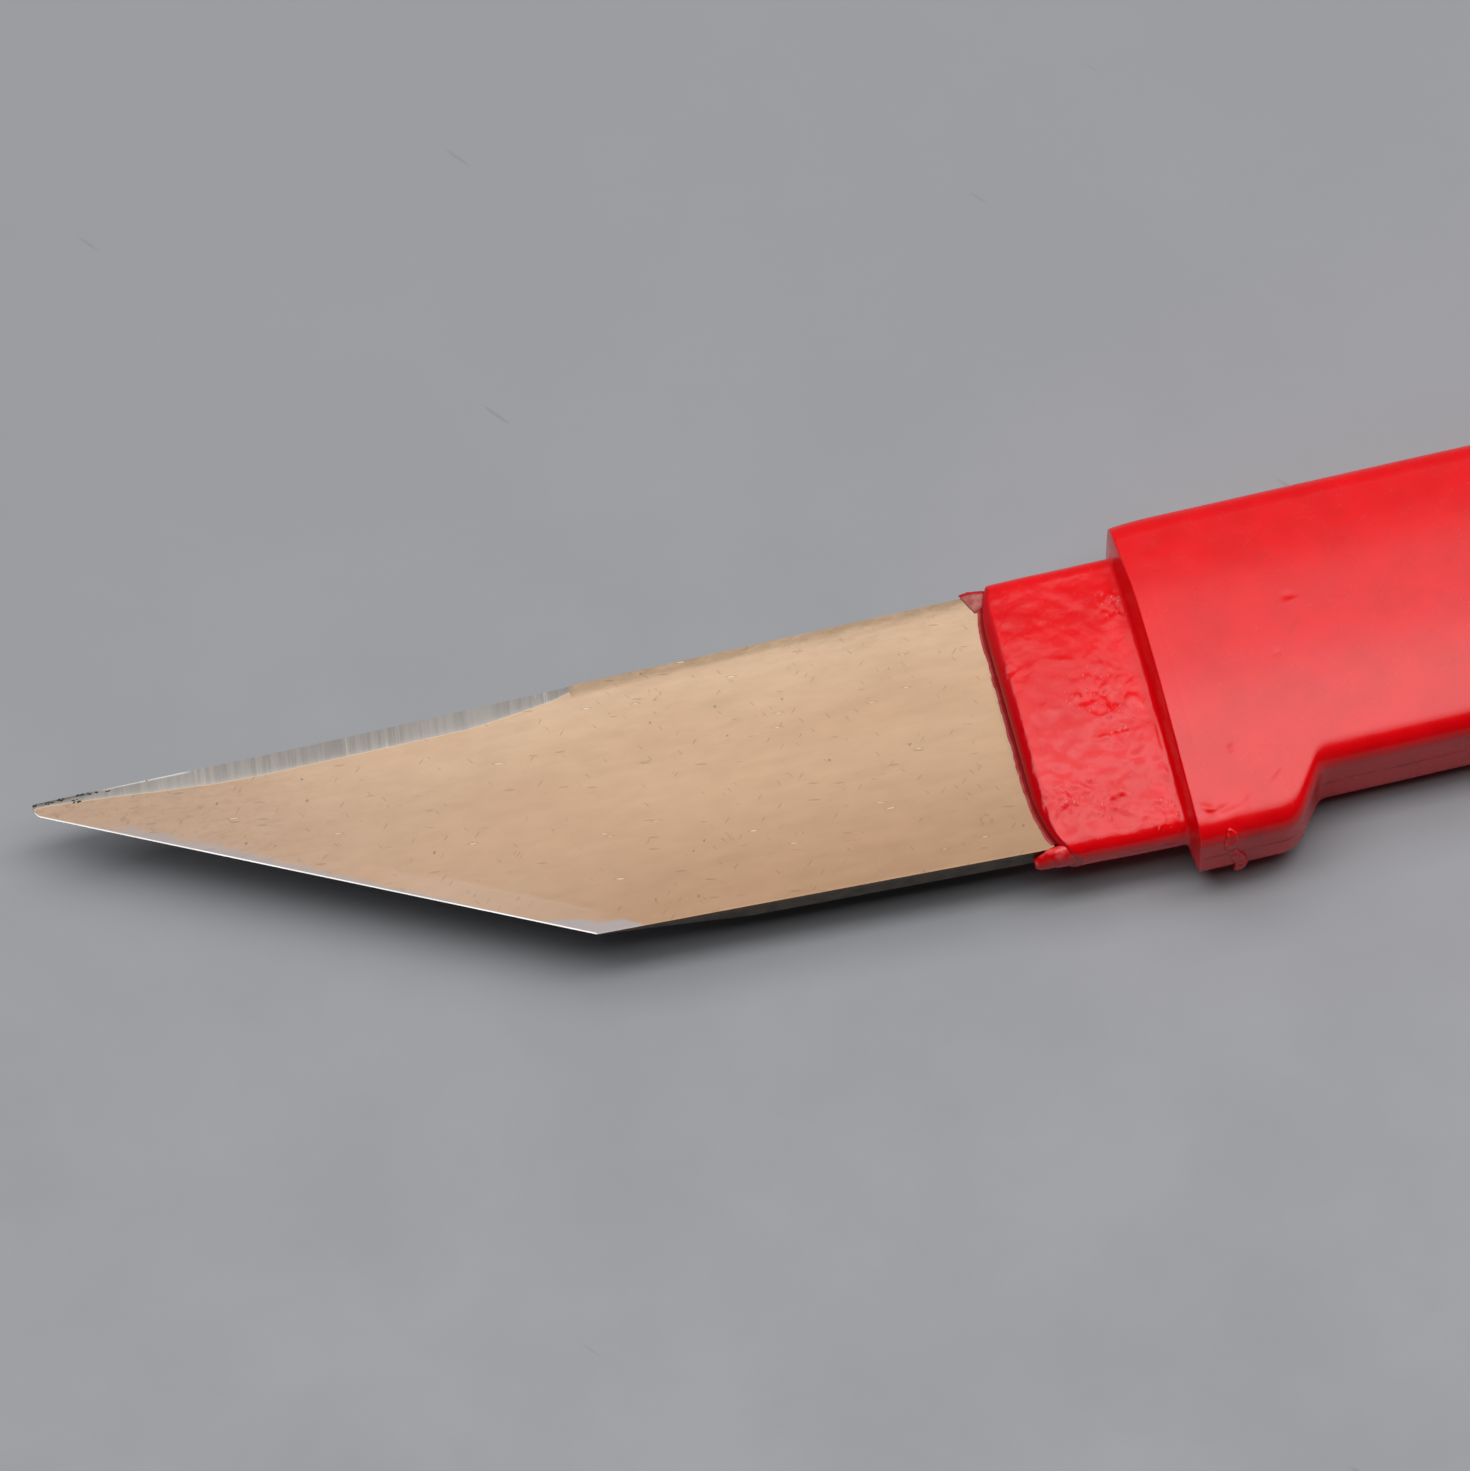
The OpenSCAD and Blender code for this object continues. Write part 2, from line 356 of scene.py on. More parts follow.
def make_grind_marks():
    """Fine parallel grinding lines of mixed width; Place runs along X across the lines."""
    group, given, out = new_group("grind marks", {"Scale": 3}, ("Fine", "Broad"))
    place = vector_math("MULTIPLY", given["Place"], GRIND_STRETCH)
    broad_scale = times(given["Scale"], GRIND_BROAD)
    group.links.new(noise_value(place, given["Scale"], 3, 0.65), out["Fine"])
    group.links.new(noise_value(place, broad_scale, 2, 0.5), out["Broad"])
    return group


specks = make_specks()
grind_marks = make_grind_marks()


def speck_masks(place, scale, size, cover):
    """Two masks of scattered specks: their discs and the rings round them."""
    return use_group(specks, place, Scale=scale, Size=size, Cover=cover)


# Materials


# The spine sheen and crest sheen colours are painted highlight that lightens the face towards the spine
LACQUER_LOW = colour(147, 114, 86)
LACQUER_SPINE_SHEEN = colour(174, 143, 114)
LACQUER_TIP = colour(157, 131, 110)
LACQUER_CREST_SHEEN = colour(187, 159, 132)
LACQUER_CLOUD = colour(160, 131, 103)
LACQUER_WARM = colour(165, 129, 103)
LACQUER_DARK = colour(98, 76, 58)
LACQUER_PALE = colour(224, 207, 184)
RUBBED_LACQUER = colour(178, 160, 148)
SPINE_DIRT = colour(104, 88, 58)
BARE_STEEL = colour(138, 131, 130)
RELIEF_STEEL = colour(168, 161, 156)
HONED_STEEL = colour(190, 186, 184)
BEVEL_STEEL = colour(200, 200, 204)
GRIND_DARK = colour(112, 108, 106)
GRIND_PALE = colour(232, 229, 224)
RED = colour(219, 0, 9)
RED_CLOUD = colour(229, 2, 13)
RED_SCRATCH = colour(180, 6, 16)
# Pale pink: real dust on the grip, and painted highlight on the collar's flecks and on the lip and gate
# scar
RED_DUST_AND_HIGHLIGHT = colour(240, 120, 118)
RED_SEAM = colour(96, 8, 14)
RED_SCAR = colour(192, 0, 6)
# Painted shade for the collar's rounded nose, which faces forward, away from the lamps overhead
RED_NOSE_SHADE = colour(184, 0, 12)
FLASH_PALE = colour(176, 104, 98)
FLASH_DEEP = colour(152, 74, 70)
FLASH_THICK = colour(168, 10, 20)
# Dark crimson for the flash's dark edges; along the mouth it is painted shade of the crevice under the
# nose
FLASH_EDGE = colour(140, 2, 12)
RESIDUE = colour(38, 44, 34)
RESIDUE_GREEN = colour(64, 72, 54)
RESIDUE_GRAIN = colour(178, 166, 140)
IRON_DARK = colour(66, 61, 56)
IRON_LIGHT = colour(106, 95, 82)
IRON_PIT = colour(36, 32, 30)
BEVEL_DARK = colour(120, 120, 122)
BEVEL_LIGHT = colour(190, 190, 192)
SIDE_BROWN = colour(124, 96, 74)
FLOOR_NEAR = colour(160, 161, 165)
FLOOR_FAR_SHADED = colour(150, 151, 155)
FLOOR_CLOUD = colour(147, 148, 152)
FLOOR_DUST = colour(206, 204, 200)
FLOOR_HAIR = colour(112, 112, 114)
# Spans of a noise value that a ramp opens up: softly, or with clearer edges
SOFT = (0.3, 0.7)
CLEAR = (0.35, 0.65)
PLASTIC_IOR = 1.5
# The height of a normal on the iron's bevel lies between these
BEVEL_UP = (-0.97, -0.9)
# Places across the table, in millimetres, between which painted shade darkens it
FLOOR_SPAN = (-60, 60)


def new_material(name):
    material = bpy.data.materials.new(name)
    material.use_nodes = True
    tree = material.node_tree
    tree.nodes.clear()
    shader = tree.nodes.new("ShaderNodeBsdfPrincipled")
    output = tree.nodes.new("ShaderNodeOutputMaterial")
    tree.links.new(shader.outputs[0], output.inputs[0])
    return material, tree, shader


def bump(height, strength, distance_mm):
    inputs = dict(Height=height, Strength=strength, Distance=distance_mm * MM)
    return shader_node(height.id_data, "ShaderNodeBump", inputs).outputs[0]


def dress(shader, base, rough, normal, **constants):
    """Feeds a material's colour, roughness and normal, and sets its constants."""
    set_sockets(shader, dict(constants, Base_Color=base, Roughness=rough, Normal=normal))


def red_moulded_plastic():
    """Satin red plastic: ripples and flecks on the collar, fine scratches and a dark parting line, with
    painted shade on the collar's nose and painted highlight on the flecks, the lip and the gate scar.
    """
    material, tree, shader = new_material("red_moulded_plastic")
    place = place_mm(tree)
    collar = mask_value(tree, "collar")
    crinkled_places = mask_value(tree, "flecks")
    scratch = speck_masks(place_mm(tree, -0.7, (1, 9, 1)), 0.3, 0.3, 0.03)[0]
    scratch = times(scratch, minus(1, collar))
    dust = speck_masks(place, 0.8, 0.08, 0.08)[0]
    # Flecks on the crinkled places: raised in the bump and lightened with a painted highlight
    glint_fleck = speck_masks(place_mm(tree, -0.9, (1, 3, 1)), 1.3, 0.3, 0.55)[0]
    glint_fleck = times(glint_fleck, crinkled_places)
    breaks = noise_value(place_mm(tree, stretch=(0.4, 1, 1)), 1.1, 3)
    seam = times(mask_value(tree, "seam"), ramp(breaks, 0.4, 0.55))
    clouds = noise_value(place, 0.3, 3)
    base = mix_colour(ramp(clouds, *SOFT), RED, RED_CLOUD)
    # The nose mask lays painted shade on the collar's nose
    base = tinted(base, (scratch, 0.25, RED_SCRATCH), (dust, 0.06, RED_DUST_AND_HIGHLIGHT), (glint_fleck, 0.7, RED_DUST_AND_HIGHLIGHT),
                  (seam, 0.9, RED_SEAM), ("scar", 1, RED_SCAR), ("nose", 1, RED_NOSE_SHADE),
                  ("lump_highlight", 0.6, RED_DUST_AND_HIGHLIGHT))
    rough = ramp(noise_value(place, 0.7, 3), *SOFT, 0.22, 0.28)
    rough = minus(rough, times(collar, 0.04))
    rough = math_node("ADD", rough, times(scratch, 0.15))
    ripple = noise_value(place, 0.8, 2, 0.4, 0.6)
    fine = noise_value(place, 2.6, 2, 0.5)
    crinkle = times(noise_value(place, 2.2, 3, 0.6, 1.2), crinkled_places)
    height = times(ripple, add_scaled(collar, 0.5, 0.1))
    height = add_scaled(fine, add_scaled(collar, 0.05, 0.012), height)
    height = add_scaled(crinkle, 0.6, height)
    height = add_scaled(glint_fleck, 0.8, height)
    height = minus(height, times(scratch, 0.1))
    dress(shader, base, rough, bump(height, 0.6, 0.1), IOR=PLASTIC_IOR, Specular_IOR_Level=0.36,
          Subsurface_Weight=0.15, Subsurface_Radius=(1, 0.08, 0.05), Subsurface_Scale=0.7 * MM)
    return material


def thin_flash():
    """Paper-thin flash of the same plastic, which lets the steel under it show."""
    material, tree, shader = new_material("thin_flash")
    veins = noise_value(place_mm(tree), 1.6, 3)
    base = mix_colour(ramp(veins, *CLEAR), FLASH_PALE, FLASH_DEEP)
    # Along the mouth the dark edge is painted shade of the crevice under the nose
    base = tinted(base, ("thick", 1, FLASH_THICK), ("dark_edge", 1, FLASH_EDGE))
    rough = ramp(veins, *SOFT, 0.42, 0.55)
    dress(shader, base, rough, bump(veins, 0.6, 0.1), IOR=PLASTIC_IOR, Specular_IOR_Level=0.12)
    return material


def bronze_lacquer():
    """Ground steel under a bronze-tinted lacquer, worn grey along the cutting edge, with painted sheen
    towards the spine and a painted sparkle on pale specks.
    """
    material, tree, shader = new_material("bronze_lacquer")
    place = place_mm(tree)
    along = place_mm(tree, stretch=(0.35, 1, 1))
    clouds = ramp(noise_value(along, 0.9, 4, 0.6), 0.35, 0.7, 0, 0.25)
    streaks = noise_value(place_mm(tree, stretch=(0.12, 1, 1)), 1.3, 3, 0.6)
    streaks = ramp(streaks, 0.3, 0.6, 0.05, 0)
    warm = ramp(noise_value(along, 0.16, 2, 0.5), 0.45, 0.65, 0, 0.22)
    smears = ramp(noise_value(along, 2.6, 4, 0.7), 0.3, 0.6, 0.4, 1)
    near_spine = times(mask_value(tree, "spine_dirt"), smears)
    grain = noise_value(along, 3, 4, 0.7)
    speckle = add_scaled(mask_value(tree, "soiled"), 0.14, 0.03)
    pits = speck_masks(place, 0.62, 0.09, 0.45)[0]
    # Pale specks of grit, lightened further as a painted sparkle, with a ring of painted shadow round each
    crumbs = speck_masks(place_mm(tree, 0.1, (0.5, 2.6, 1)), 0.6, 0.1, 0.35)
    rings = speck_masks(place, 0.33, 0.13, 0.2)[1]
    arcs = times(rings, ramp(noise_value(place, 1.6, 2), 0.5, 0.58))
    dashes = [speck_masks(place_mm(tree, turn, (1, 5, 1)), scale, 0.26, 0.12)[0]
              for turn, scale in ((0.15, 0.5), (-0.8, 0.7), (1, 0.85))]
    dash = math_node("MAXIMUM", dashes[0], math_node("MAXIMUM", dashes[1], dashes[2]))
    ragged = minus(noise_value(along, 2.4, 3), 0.5)
    bare = ramp(add_scaled(ragged, 0.9, mask_value(tree, "worn")), 0.15, 0.95)
    # Painted sheen: the face is lightened towards the spine, and more near the spine behind the first 10
    # mm
    base = mix_colour(mask_value(tree, "across"), LACQUER_LOW, LACQUER_SPINE_SHEEN)
    base = tinted(base, ("front", 1, LACQUER_TIP), ("crest_sheen", 1, LACQUER_CREST_SHEEN), (clouds, 1, LACQUER_CLOUD),
                  (streaks, 1, LACQUER_DARK), (warm, 1, LACQUER_WARM), (near_spine, 0.36, SPINE_DIRT),
                  (ramp(grain, 0.56, 0.32), speckle, LACQUER_DARK), (dash, 0.22, LACQUER_DARK),
                  (arcs, 0.25, LACQUER_DARK), (pits, 0.5, LACQUER_DARK), (crumbs[1], 0.25, LACQUER_DARK),
                  (crumbs[0], 0.4, LACQUER_PALE), ("rim", 0.4, LACQUER_PALE),
                  ("rubbed", 0.22, RUBBED_LACQUER), (bare, 1, BARE_STEEL))
    rough = ramp(noise_value(along, 1.2, 3), *SOFT, 0.46, 0.5)
    rough = minus(rough, times(bare, 0.06))
    height = add_scaled(crumbs[0], 1.4, times(grain, 0.12))
    height = minus(height, math_node("ADD", pits, dash))
    height = minus(height, arcs)
    dress(shader, base, rough, bump(height, 0.3, 0.02), Metallic=0.5)
    return material


def ground_steel(name, tint, metal, roughness, turn, contrast):
    """Bare steel with grinding lines across it; turn sets the lines' direction."""
    material, tree, shader = new_material(name)
    fine, broad = use_group(grind_marks, place_mm(tree, turn=turn), Scale=3.2)
    dark = tuple((1 - contrast) * c for c in tint[:3]) + (1,)
    base = mix_colour(ramp(fine, 0.36, 0.6), dark, tint)
    base = tinted(base, (ramp(broad, 0.42, 0.5, contrast, 0), 1, dark),
                  (ramp(fine, 0.3, 0.26, 0, 2 * contrast), 1, GRIND_DARK),
                  (ramp(fine, 0.66, 0.7, 0, 0.25), 1, GRIND_PALE), ("burr", 1, GRIND_PALE),
                  ("soot", 1, RESIDUE))
    rough = ramp(fine, *SOFT, *roughness)
    dress(shader, base, rough, bump(fine, 0.5, 0.02), Metallic=metal)
    return material


def dried_residue():
    """Blackish green crumbs of grinding slurry, with a few metallic grains."""
    material, tree, shader = new_material("dried_residue")
    place = place_mm(tree)
    patches = noise_value(place, 5, 3)
    grains = speck_masks(place, 6, 0.35, 0.2)[0]
    base = mix_colour(ramp(patches, *CLEAR), RESIDUE, RESIDUE_GREEN)
    base = mix_colour(grains, base, RESIDUE_GRAIN)
    rough = minus(ramp(patches, *SOFT, 0.6, 0.75), times(grains, 0.3))
    dress(shader, base, rough, bump(patches, 0.6, 0.05), Metallic=grains)
    return material


def forged_iron():
    """Dark forged iron with scale and oil-brown clouds; its bevel is ground bright."""
    material, tree, shader = new_material("forged_iron")
    place = place_mm(tree)
    facing = shader_node(tree, "ShaderNodeNewGeometry").outputs["True Normal"]
    up = shader_node(tree, "ShaderNodeSeparateXYZ", {0: facing}).outputs[2]
    ground = times(math_node("GREATER_THAN", up, BEVEL_UP[0]), math_node("LESS_THAN", up, BEVEL_UP[1]))
    lines = use_group(grind_marks, place_mm(tree, turn=SKEW), Scale=3)[0]
    clouds = noise_value(place, 0.7, 5, 0.6)
    pits = speck_masks(place, 1.4, 0.2, 0.3)[0]
    forged = tinted(mix_colour(ramp(clouds, *CLEAR), IRON_DARK, IRON_LIGHT), (pits, 0.6, IRON_PIT))
    bright = mix_colour(ramp(lines, *SOFT), BEVEL_DARK, BEVEL_LIGHT)
    ragged = ramp(noise_value(place, 2, 3), 0.35, 0.6, 0.2, 0.9)
    brown = times(mask_value(tree, "brown"), ragged)
    base = mix_colour(brown, mix_colour(ground, forged, bright), SIDE_BROWN)
    rough = minus(ramp(clouds, *SOFT, 0.42, 0.6), times(ground, 0.18))
    height = math_node("ADD", clouds, times(lines, ground))
    dress(shader, base, rough, bump(minus(height, pits), 0.5, 0.03), Metallic=0.9)
    return material


def pale_floor():
    """Smooth grey table top with faint clouds and a few specks of dust, and painted shade that darkens it
    a little towards the back.
    """
    material, tree, shader = new_material("pale_floor")
    place = place_mm(tree)
    across = shader_node(tree, "ShaderNodeSeparateXYZ", {0: place}).outputs[1]
    clouds = ramp(noise_value(place, 0.05, 4, 0.6), *SOFT, 0, 0.5)
    dust = speck_masks(place, 0.08, 0.016, 0.3)[0]
    hair = speck_masks(place_mm(tree, 0.9, (1, 8, 1)), 0.06, 0.1, 0.12)[0]
    # Painted shade: the floor darkens a little towards the back
    base = mix_colour(ramp(across, *FLOOR_SPAN), FLOOR_NEAR, FLOOR_FAR_SHADED)
    base = tinted(base, (clouds, 1, FLOOR_CLOUD), (dust, 0.6, FLOOR_DUST), (hair, 0.25, FLOOR_HAIR))
    set_sockets(shader, dict(Base_Color=base, Roughness=0.75, Specular_IOR_Level=0.2))
    return material


# Handle


ARC_STEPS = 6
FLAT_STEPS = 26
TOP_STEPS = 150
SIDE_STEPS = 2 * (ARC_STEPS + 1) + FLAT_STEPS


def crown(y, half_w, rise):
    """Height of a crowned face over its edge; past the edge it runs on down."""
    t = np.abs(y) / half_w
    inner = rise * (1 - t ** 2) * (1 - CROWN_FLAT * t ** 2)
    return np.where(t < 1, inner, -2 * rise * (1 - CROWN_FLAT) * (t - 1))


def side_path(top, r, barrel):
    """Inward distances and heights up a side: lower rounding, barrelled side, upper rounding."""
    turn = np.linspace(pi / 2, 0, ARC_STEPS + 1)
    t = np.linspace(-1, 1, FLAT_STEPS + 2)[1:-1]
    inward = np.r_[r * (1 - np.cos(turn)), np.zeros(FLAT_STEPS), r * (1 - np.cos(turn[::-1]))]
    flat = (top - r) * (0.3 * t + 0.7 * t ** 3)
    arc = top - r + r * np.sin(turn)
    height = np.r_[-arc, flat, arc[::-1]]
    return inward + barrel * np.abs(height / top) ** 3, height


def section(x, near, far, edge_h, edge_r, mid, half_w, rise, barrel=0):
    """One closed ring of the handle at x: far side up, top to near, near side down, back under."""
    def top(y):
        return edge_h / 2 + crown(y - mid, half_w, rise)
    inset = edge_r + barrel
    far_in, far_z = side_path(float(top(far - inset)), edge_r, barrel)
    near_in, near_z = side_path(float(top(near + inset)), edge_r, barrel)
    face_y = np.linspace(far - inset, near + inset, TOP_STEPS + 2)[1:-1]
    y = np.r_[far - far_in, face_y, near + near_in[::-1], face_y[::-1]]
    z = np.r_[far_z, top(face_y), near_z[::-1], -top(face_y[::-1])]
    return np.stack([np.full_like(y, x), y, z + MIDDLE_Z], axis=1)


def slot_ring(x, near, far, half_t):
    """One closed ring of the tang's socket, with as many points as a section."""
    rise = np.linspace(-half_t, half_t, SIDE_STEPS)
    face_y = np.linspace(far, near, TOP_STEPS + 2)[1:-1]
    y = np.r_[np.full(SIDE_STEPS, far), face_y, np.full(SIDE_STEPS, near), face_y[::-1]]
    z = np.r_[rise, np.full(TOP_STEPS, half_t), rise[::-1], np.full(TOP_STEPS, -half_t)]
    return np.stack([np.full_like(y, x), y, z + MIDDLE_Z], axis=1)


def drawn_in(d, start, wide):
    """How far a rounding draws in at distance d from the end that it rounds."""
    return 0 if d >= start else wide * (1 - sqrt(1 - (1 - d / start) ** 2))


def collar_section(d):
    near = COLLAR_FAR - COLLAR_W - COLLAR_DRAFT * d / COLLAR_LEN
    mid = (near + COLLAR_FAR) / 2
    return section(COLLAR_X + d, near, COLLAR_FAR, COLLAR_EDGE_H, COLLAR_EDGE_R, mid, COLLAR_FAR - mid,
                   COLLAR_RISE)


def corner_fall(y):
    """How far the collar's nose falls back towards its two corners, at place y across."""
    half_w = COLLAR_W / 2
    beside = y - (COLLAR_FAR - half_w)
    back = np.where(beside < 0, *NOSE_BACK)
    wide = np.where(beside < 0, *NOSE_CORNER_W)
    aside = np.clip((np.abs(beside) - (half_w - wide)) / wide, 0, 1)
    return back * (1 - np.sqrt(1 - aside ** 2))


def nose_depth(ring):
    """How far behind the collar's front its rounded nose lies, at each point of a ring."""
    half_w = (COLLAR_W + COLLAR_DRAFT * NOSE_END / COLLAR_LEN) / 2
    crown_h = crown(ring[:, 1] - (COLLAR_FAR - half_w), half_w, COLLAR_RISE)
    half_h = COLLAR_EDGE_H / 2 + np.maximum(crown_h, 0)
    height = np.abs(ring[:, 2] - MIDDLE_Z)
    above = np.clip((height - (half_h - NOSE_R)) / NOSE_R, 0, 1)
    elevation = NOSE_R * (1 - np.sqrt(1 - above ** 2))
    return NOSE_SET_BACK + np.sqrt(corner_fall(ring[:, 1]) ** 2 + elevation ** 2)


def guard_near(s):
    """Near side of the guard and grip at distance s behind the rim."""
    turn = pi / 2 - FLANK_ANGLE
    corner_x = GUARD_LEN - GUARD_CORNER_R * tan(turn / 2)
    fillet_x = GUARD_LEN + GUARD_OUT * tan(FLANK_ANGLE) + GUARD_FILLET_R * tan(turn / 2)
    if s < corner_x:
        return GUARD_SIDE
    if s < corner_x + GUARD_CORNER_R * sin(turn):
        return GUARD_SIDE + GUARD_CORNER_R - sqrt(GUARD_CORNER_R ** 2 - (s - corner_x) ** 2)
    if s < fillet_x - GUARD_FILLET_R * sin(turn):
        return GUARD_SIDE + (s - GUARD_LEN) / tan(FLANK_ANGLE)
    if s < fillet_x:
        return -GRIP_SIDE - GUARD_FILLET_R + sqrt(GUARD_FILLET_R ** 2 - (s - fillet_x) ** 2)
    return -GRIP_SIDE


def grip_section(s):
    """Ring of the grip at distance s behind the rim, drawn in by the butt's roundings."""
    left = GRIP_LEN - s
    side_in = drawn_in(left, BUTT_CORNER_R, BUTT_CORNER_R)
    edge_h = GRIP_EDGE_H - 2 * drawn_in(left, BUTT_R, BUTT_R)
    inset = CORNER_INSET * max(0, 1 - s / CORNER_INSET_LEN) ** 2
    ring = section(SHOULDER_X + s, guard_near(s) + side_in, GRIP_SIDE - side_in - inset, edge_h,
                   min(GRIP_EDGE_R, 0.45 * edge_h), 0, GRIP_SIDE, GRIP_RISE, SIDE_BARREL)
    lean = RIM_LEAN[0] + (RIM_LEAN[1] - RIM_LEAN[0]) * ease(RIM_LEAN_START, GRIP_SIDE, ring[:, 1])
    ring[:, 0] -= lean * (1 - ease(0, 3, s))
    return ring


def steps(start, end, pitch):
    return np.linspace(start, end, max(2, round((end - start) / pitch) + 1))


# Where the bends at the shoulder's foot and rim end and start, as shares of the shoulder's face
FOOT_SHARE = 0.16
RIM_SHARE = 0.9
# Depths of the rings in the socket's wide entry, and the spacing of those along the collar
ENTRY_DEPTHS = (ENTRY_LEN + TANG_GAP, 1.2)
COLLAR_PITCH = 0.14
# Runs of rings along the grip: start and end behind the rim, and spacing
GRIP_RUNS = ((0.14, 5, 0.1), (5.15, 13, 0.18), (13.3, 30, 0.35), (31, GRIP_LEN - BUTT_CORNER_R, 1.2))
# How many rings the socket and its mouth have, which stay smooth
PLAIN_RINGS = 5


def handle_rings():
    """Rings from the socket's end, out of the slot, over the nose and back to the butt."""
    half_t = BLADE_T / 2 + TANG_GAP
    tang_mid = (SPINE_Y + LOWER_Y) / 2
    tang = tang_mid - TANG_W / 2 - TANG_GAP, tang_mid + TANG_W / 2 + TANG_GAP, half_t
    entry = LOWER_Y - TANG_GAP, SPINE_Y + TANG_GAP, half_t
    rings = [slot_ring(x + TANG_GAP, *tang) for x in (TANG_END_X, TANG_X)]
    rings += [slot_ring(COLLAR_X + depth, *entry) for depth in ENTRY_DEPTHS]
    mouth, nose_end = slot_ring(COLLAR_X, *entry), collar_section(NOSE_END)
    for share in 1 - (1 - np.linspace(0, 1, 26)) ** 2:
        nose = mouth + (nose_end - mouth) * share
        nose[:, 0] = COLLAR_X + nose_depth(nose)
        rings.append(nose)
    rings += [nose + share * (nose_end - nose) for share in np.linspace(0, 1, 16)[1:]]
    foot = COLLAR_LEN - SHOULDER_LEAN
    rings += [collar_section(d) for d in steps(NOSE_END + COLLAR_PITCH, foot - FOOT_FILLET, COLLAR_PITCH)]
    low, high = collar_section(foot), grip_section(0)
    foot_bend = collar_section(foot - FOOT_FILLET), low, low + FOOT_SHARE * (high - low)
    rim_bend = low + RIM_SHARE * (high - low), high, grip_section(RIM_ROUND)
    rings += [bezier(*foot_bend, t) for t in (0.3, 0.6, 1)]
    rings += [low + share * (high - low) for share in (0.35, 0.55, 0.75)]
    rings += [bezier(*rim_bend, t) for t in np.linspace(0, 1, 6)]
    rings += [grip_section(s) for run in GRIP_RUNS for s in steps(*run)]
    turns = np.linspace(0.05, 1, 16) * pi / 2
    rings += [grip_section(GRIP_LEN - BUTT_CORNER_R * (1 - sin(turn))) for turn in turns]
    return np.array(rings)


# Marks on the grip's upper face: distance behind the rim, place across, length, width, turn and height
GRIP_MARKS = (
    (10.7, 1.7, 0.4, 0.3, 0, -0.08), (10.9, 1.2, 0.6, 0.12, 0.1, 0.05),
    (8.8, -2.6, 0.18, 0.18, 0, -0.045), (3.7, -8.8, 0.3, 0.22, 0.5, -0.05),
    (5.6, -6.4, 1.7, 0.1, 0.55, -0.012), (4.3, -7, 1.2, 0.09, 0.8, -0.01),
    (0.8, -12.7, 0.9, 0.22, -0.5, 0.1), (1.6, -13.2, 0.8, 0.3, 0.2, -0.1),
    (2.5, -13.4, 0.9, 0.2, 0.1, 0.07), (3.9, -12.9, 0.35, 0.14, 0.9, 0.05))
# The same on the collar, behind its front
COLLAR_MARKS = (
    (8.1, -2.4, 0.8, 0.5, 0.2, -0.09), (9.2, -2.5, 0.4, 0.35, 0, 0.08),
    (5.4, -1.6, 0.7, 0.35, 0.8, 0.07), (5.4, 1.6, 0.6, 0.3, -0.3, 0.06),
    (7.2, -3.4, 0.8, 0.22, 0.1, 0.06), (7.6, -5, 2, 0.16, 0.02, 0.07),
    (2.6, -6.8, 0.7, 0.2, -0.8, -0.05), (2.6, -9.2, 0.8, 0.2, 0.7, 0.05),
    (4.6, -8.2, 0.7, 0.22, -0.6, -0.05), (3.8, -9.4, 0.6, 0.2, 0.9, -0.05),
    (10.1, 6.3, 0.4, 0.16, 0.8, 0.05), (10.4, 4.6, 0.5, 0.16, 0.5, 0.05),
    (9, -12.2, 0.5, 0.2, 0.4, 0.06))
# Heights of the collar's ripples, broad and fine, of its crinkles and of the parting line
RIPPLE_H = (0.04, 0.1)
CRINKLE_H = 0.15
SEAM_H = 0.03
# Crinkled patches on the collar, whose flecks get a painted highlight: behind its front, place across and
# radius
CRINKLE_PATCHES = ((10.2, 5.4, 1.3), (7.4, -1.6, 2.4), (1, 1.8, 0.8), (2.8, -9, 1.6), (9.6, -12, 1.7),
                   (6, -9.6, 1.6), (8, -5, 1.4))


def mark_heights(points, start_x, marks):
    """Small ridges and dents on an upper face, each an elongated bump."""
    amount = np.zeros(len(points))
    for behind, across, length, width, turn, height in marks:
        dx, dy = points[:, 0] - start_x - behind, points[:, 1] - across
        along = dx * cos(turn) + dy * sin(turn)
        aside = dy * cos(turn) - dx * sin(turn)
        amount += height * np.exp(-(along / length) ** 2 - (aside / width) ** 2)
    return amount


def crinkled(points):
    """How strongly the collar's upper face is crinkled, patch by patch."""
    amount = 0.07 + 0.1 * ease(2, -4, points[:, 1])
    for behind, y, radius in CRINKLE_PATCHES:
        far = np.hypot(points[:, 0] - COLLAR_X - behind, points[:, 1] - y) / radius
        amount = np.maximum(amount, np.exp(-far ** 2))
    return amount


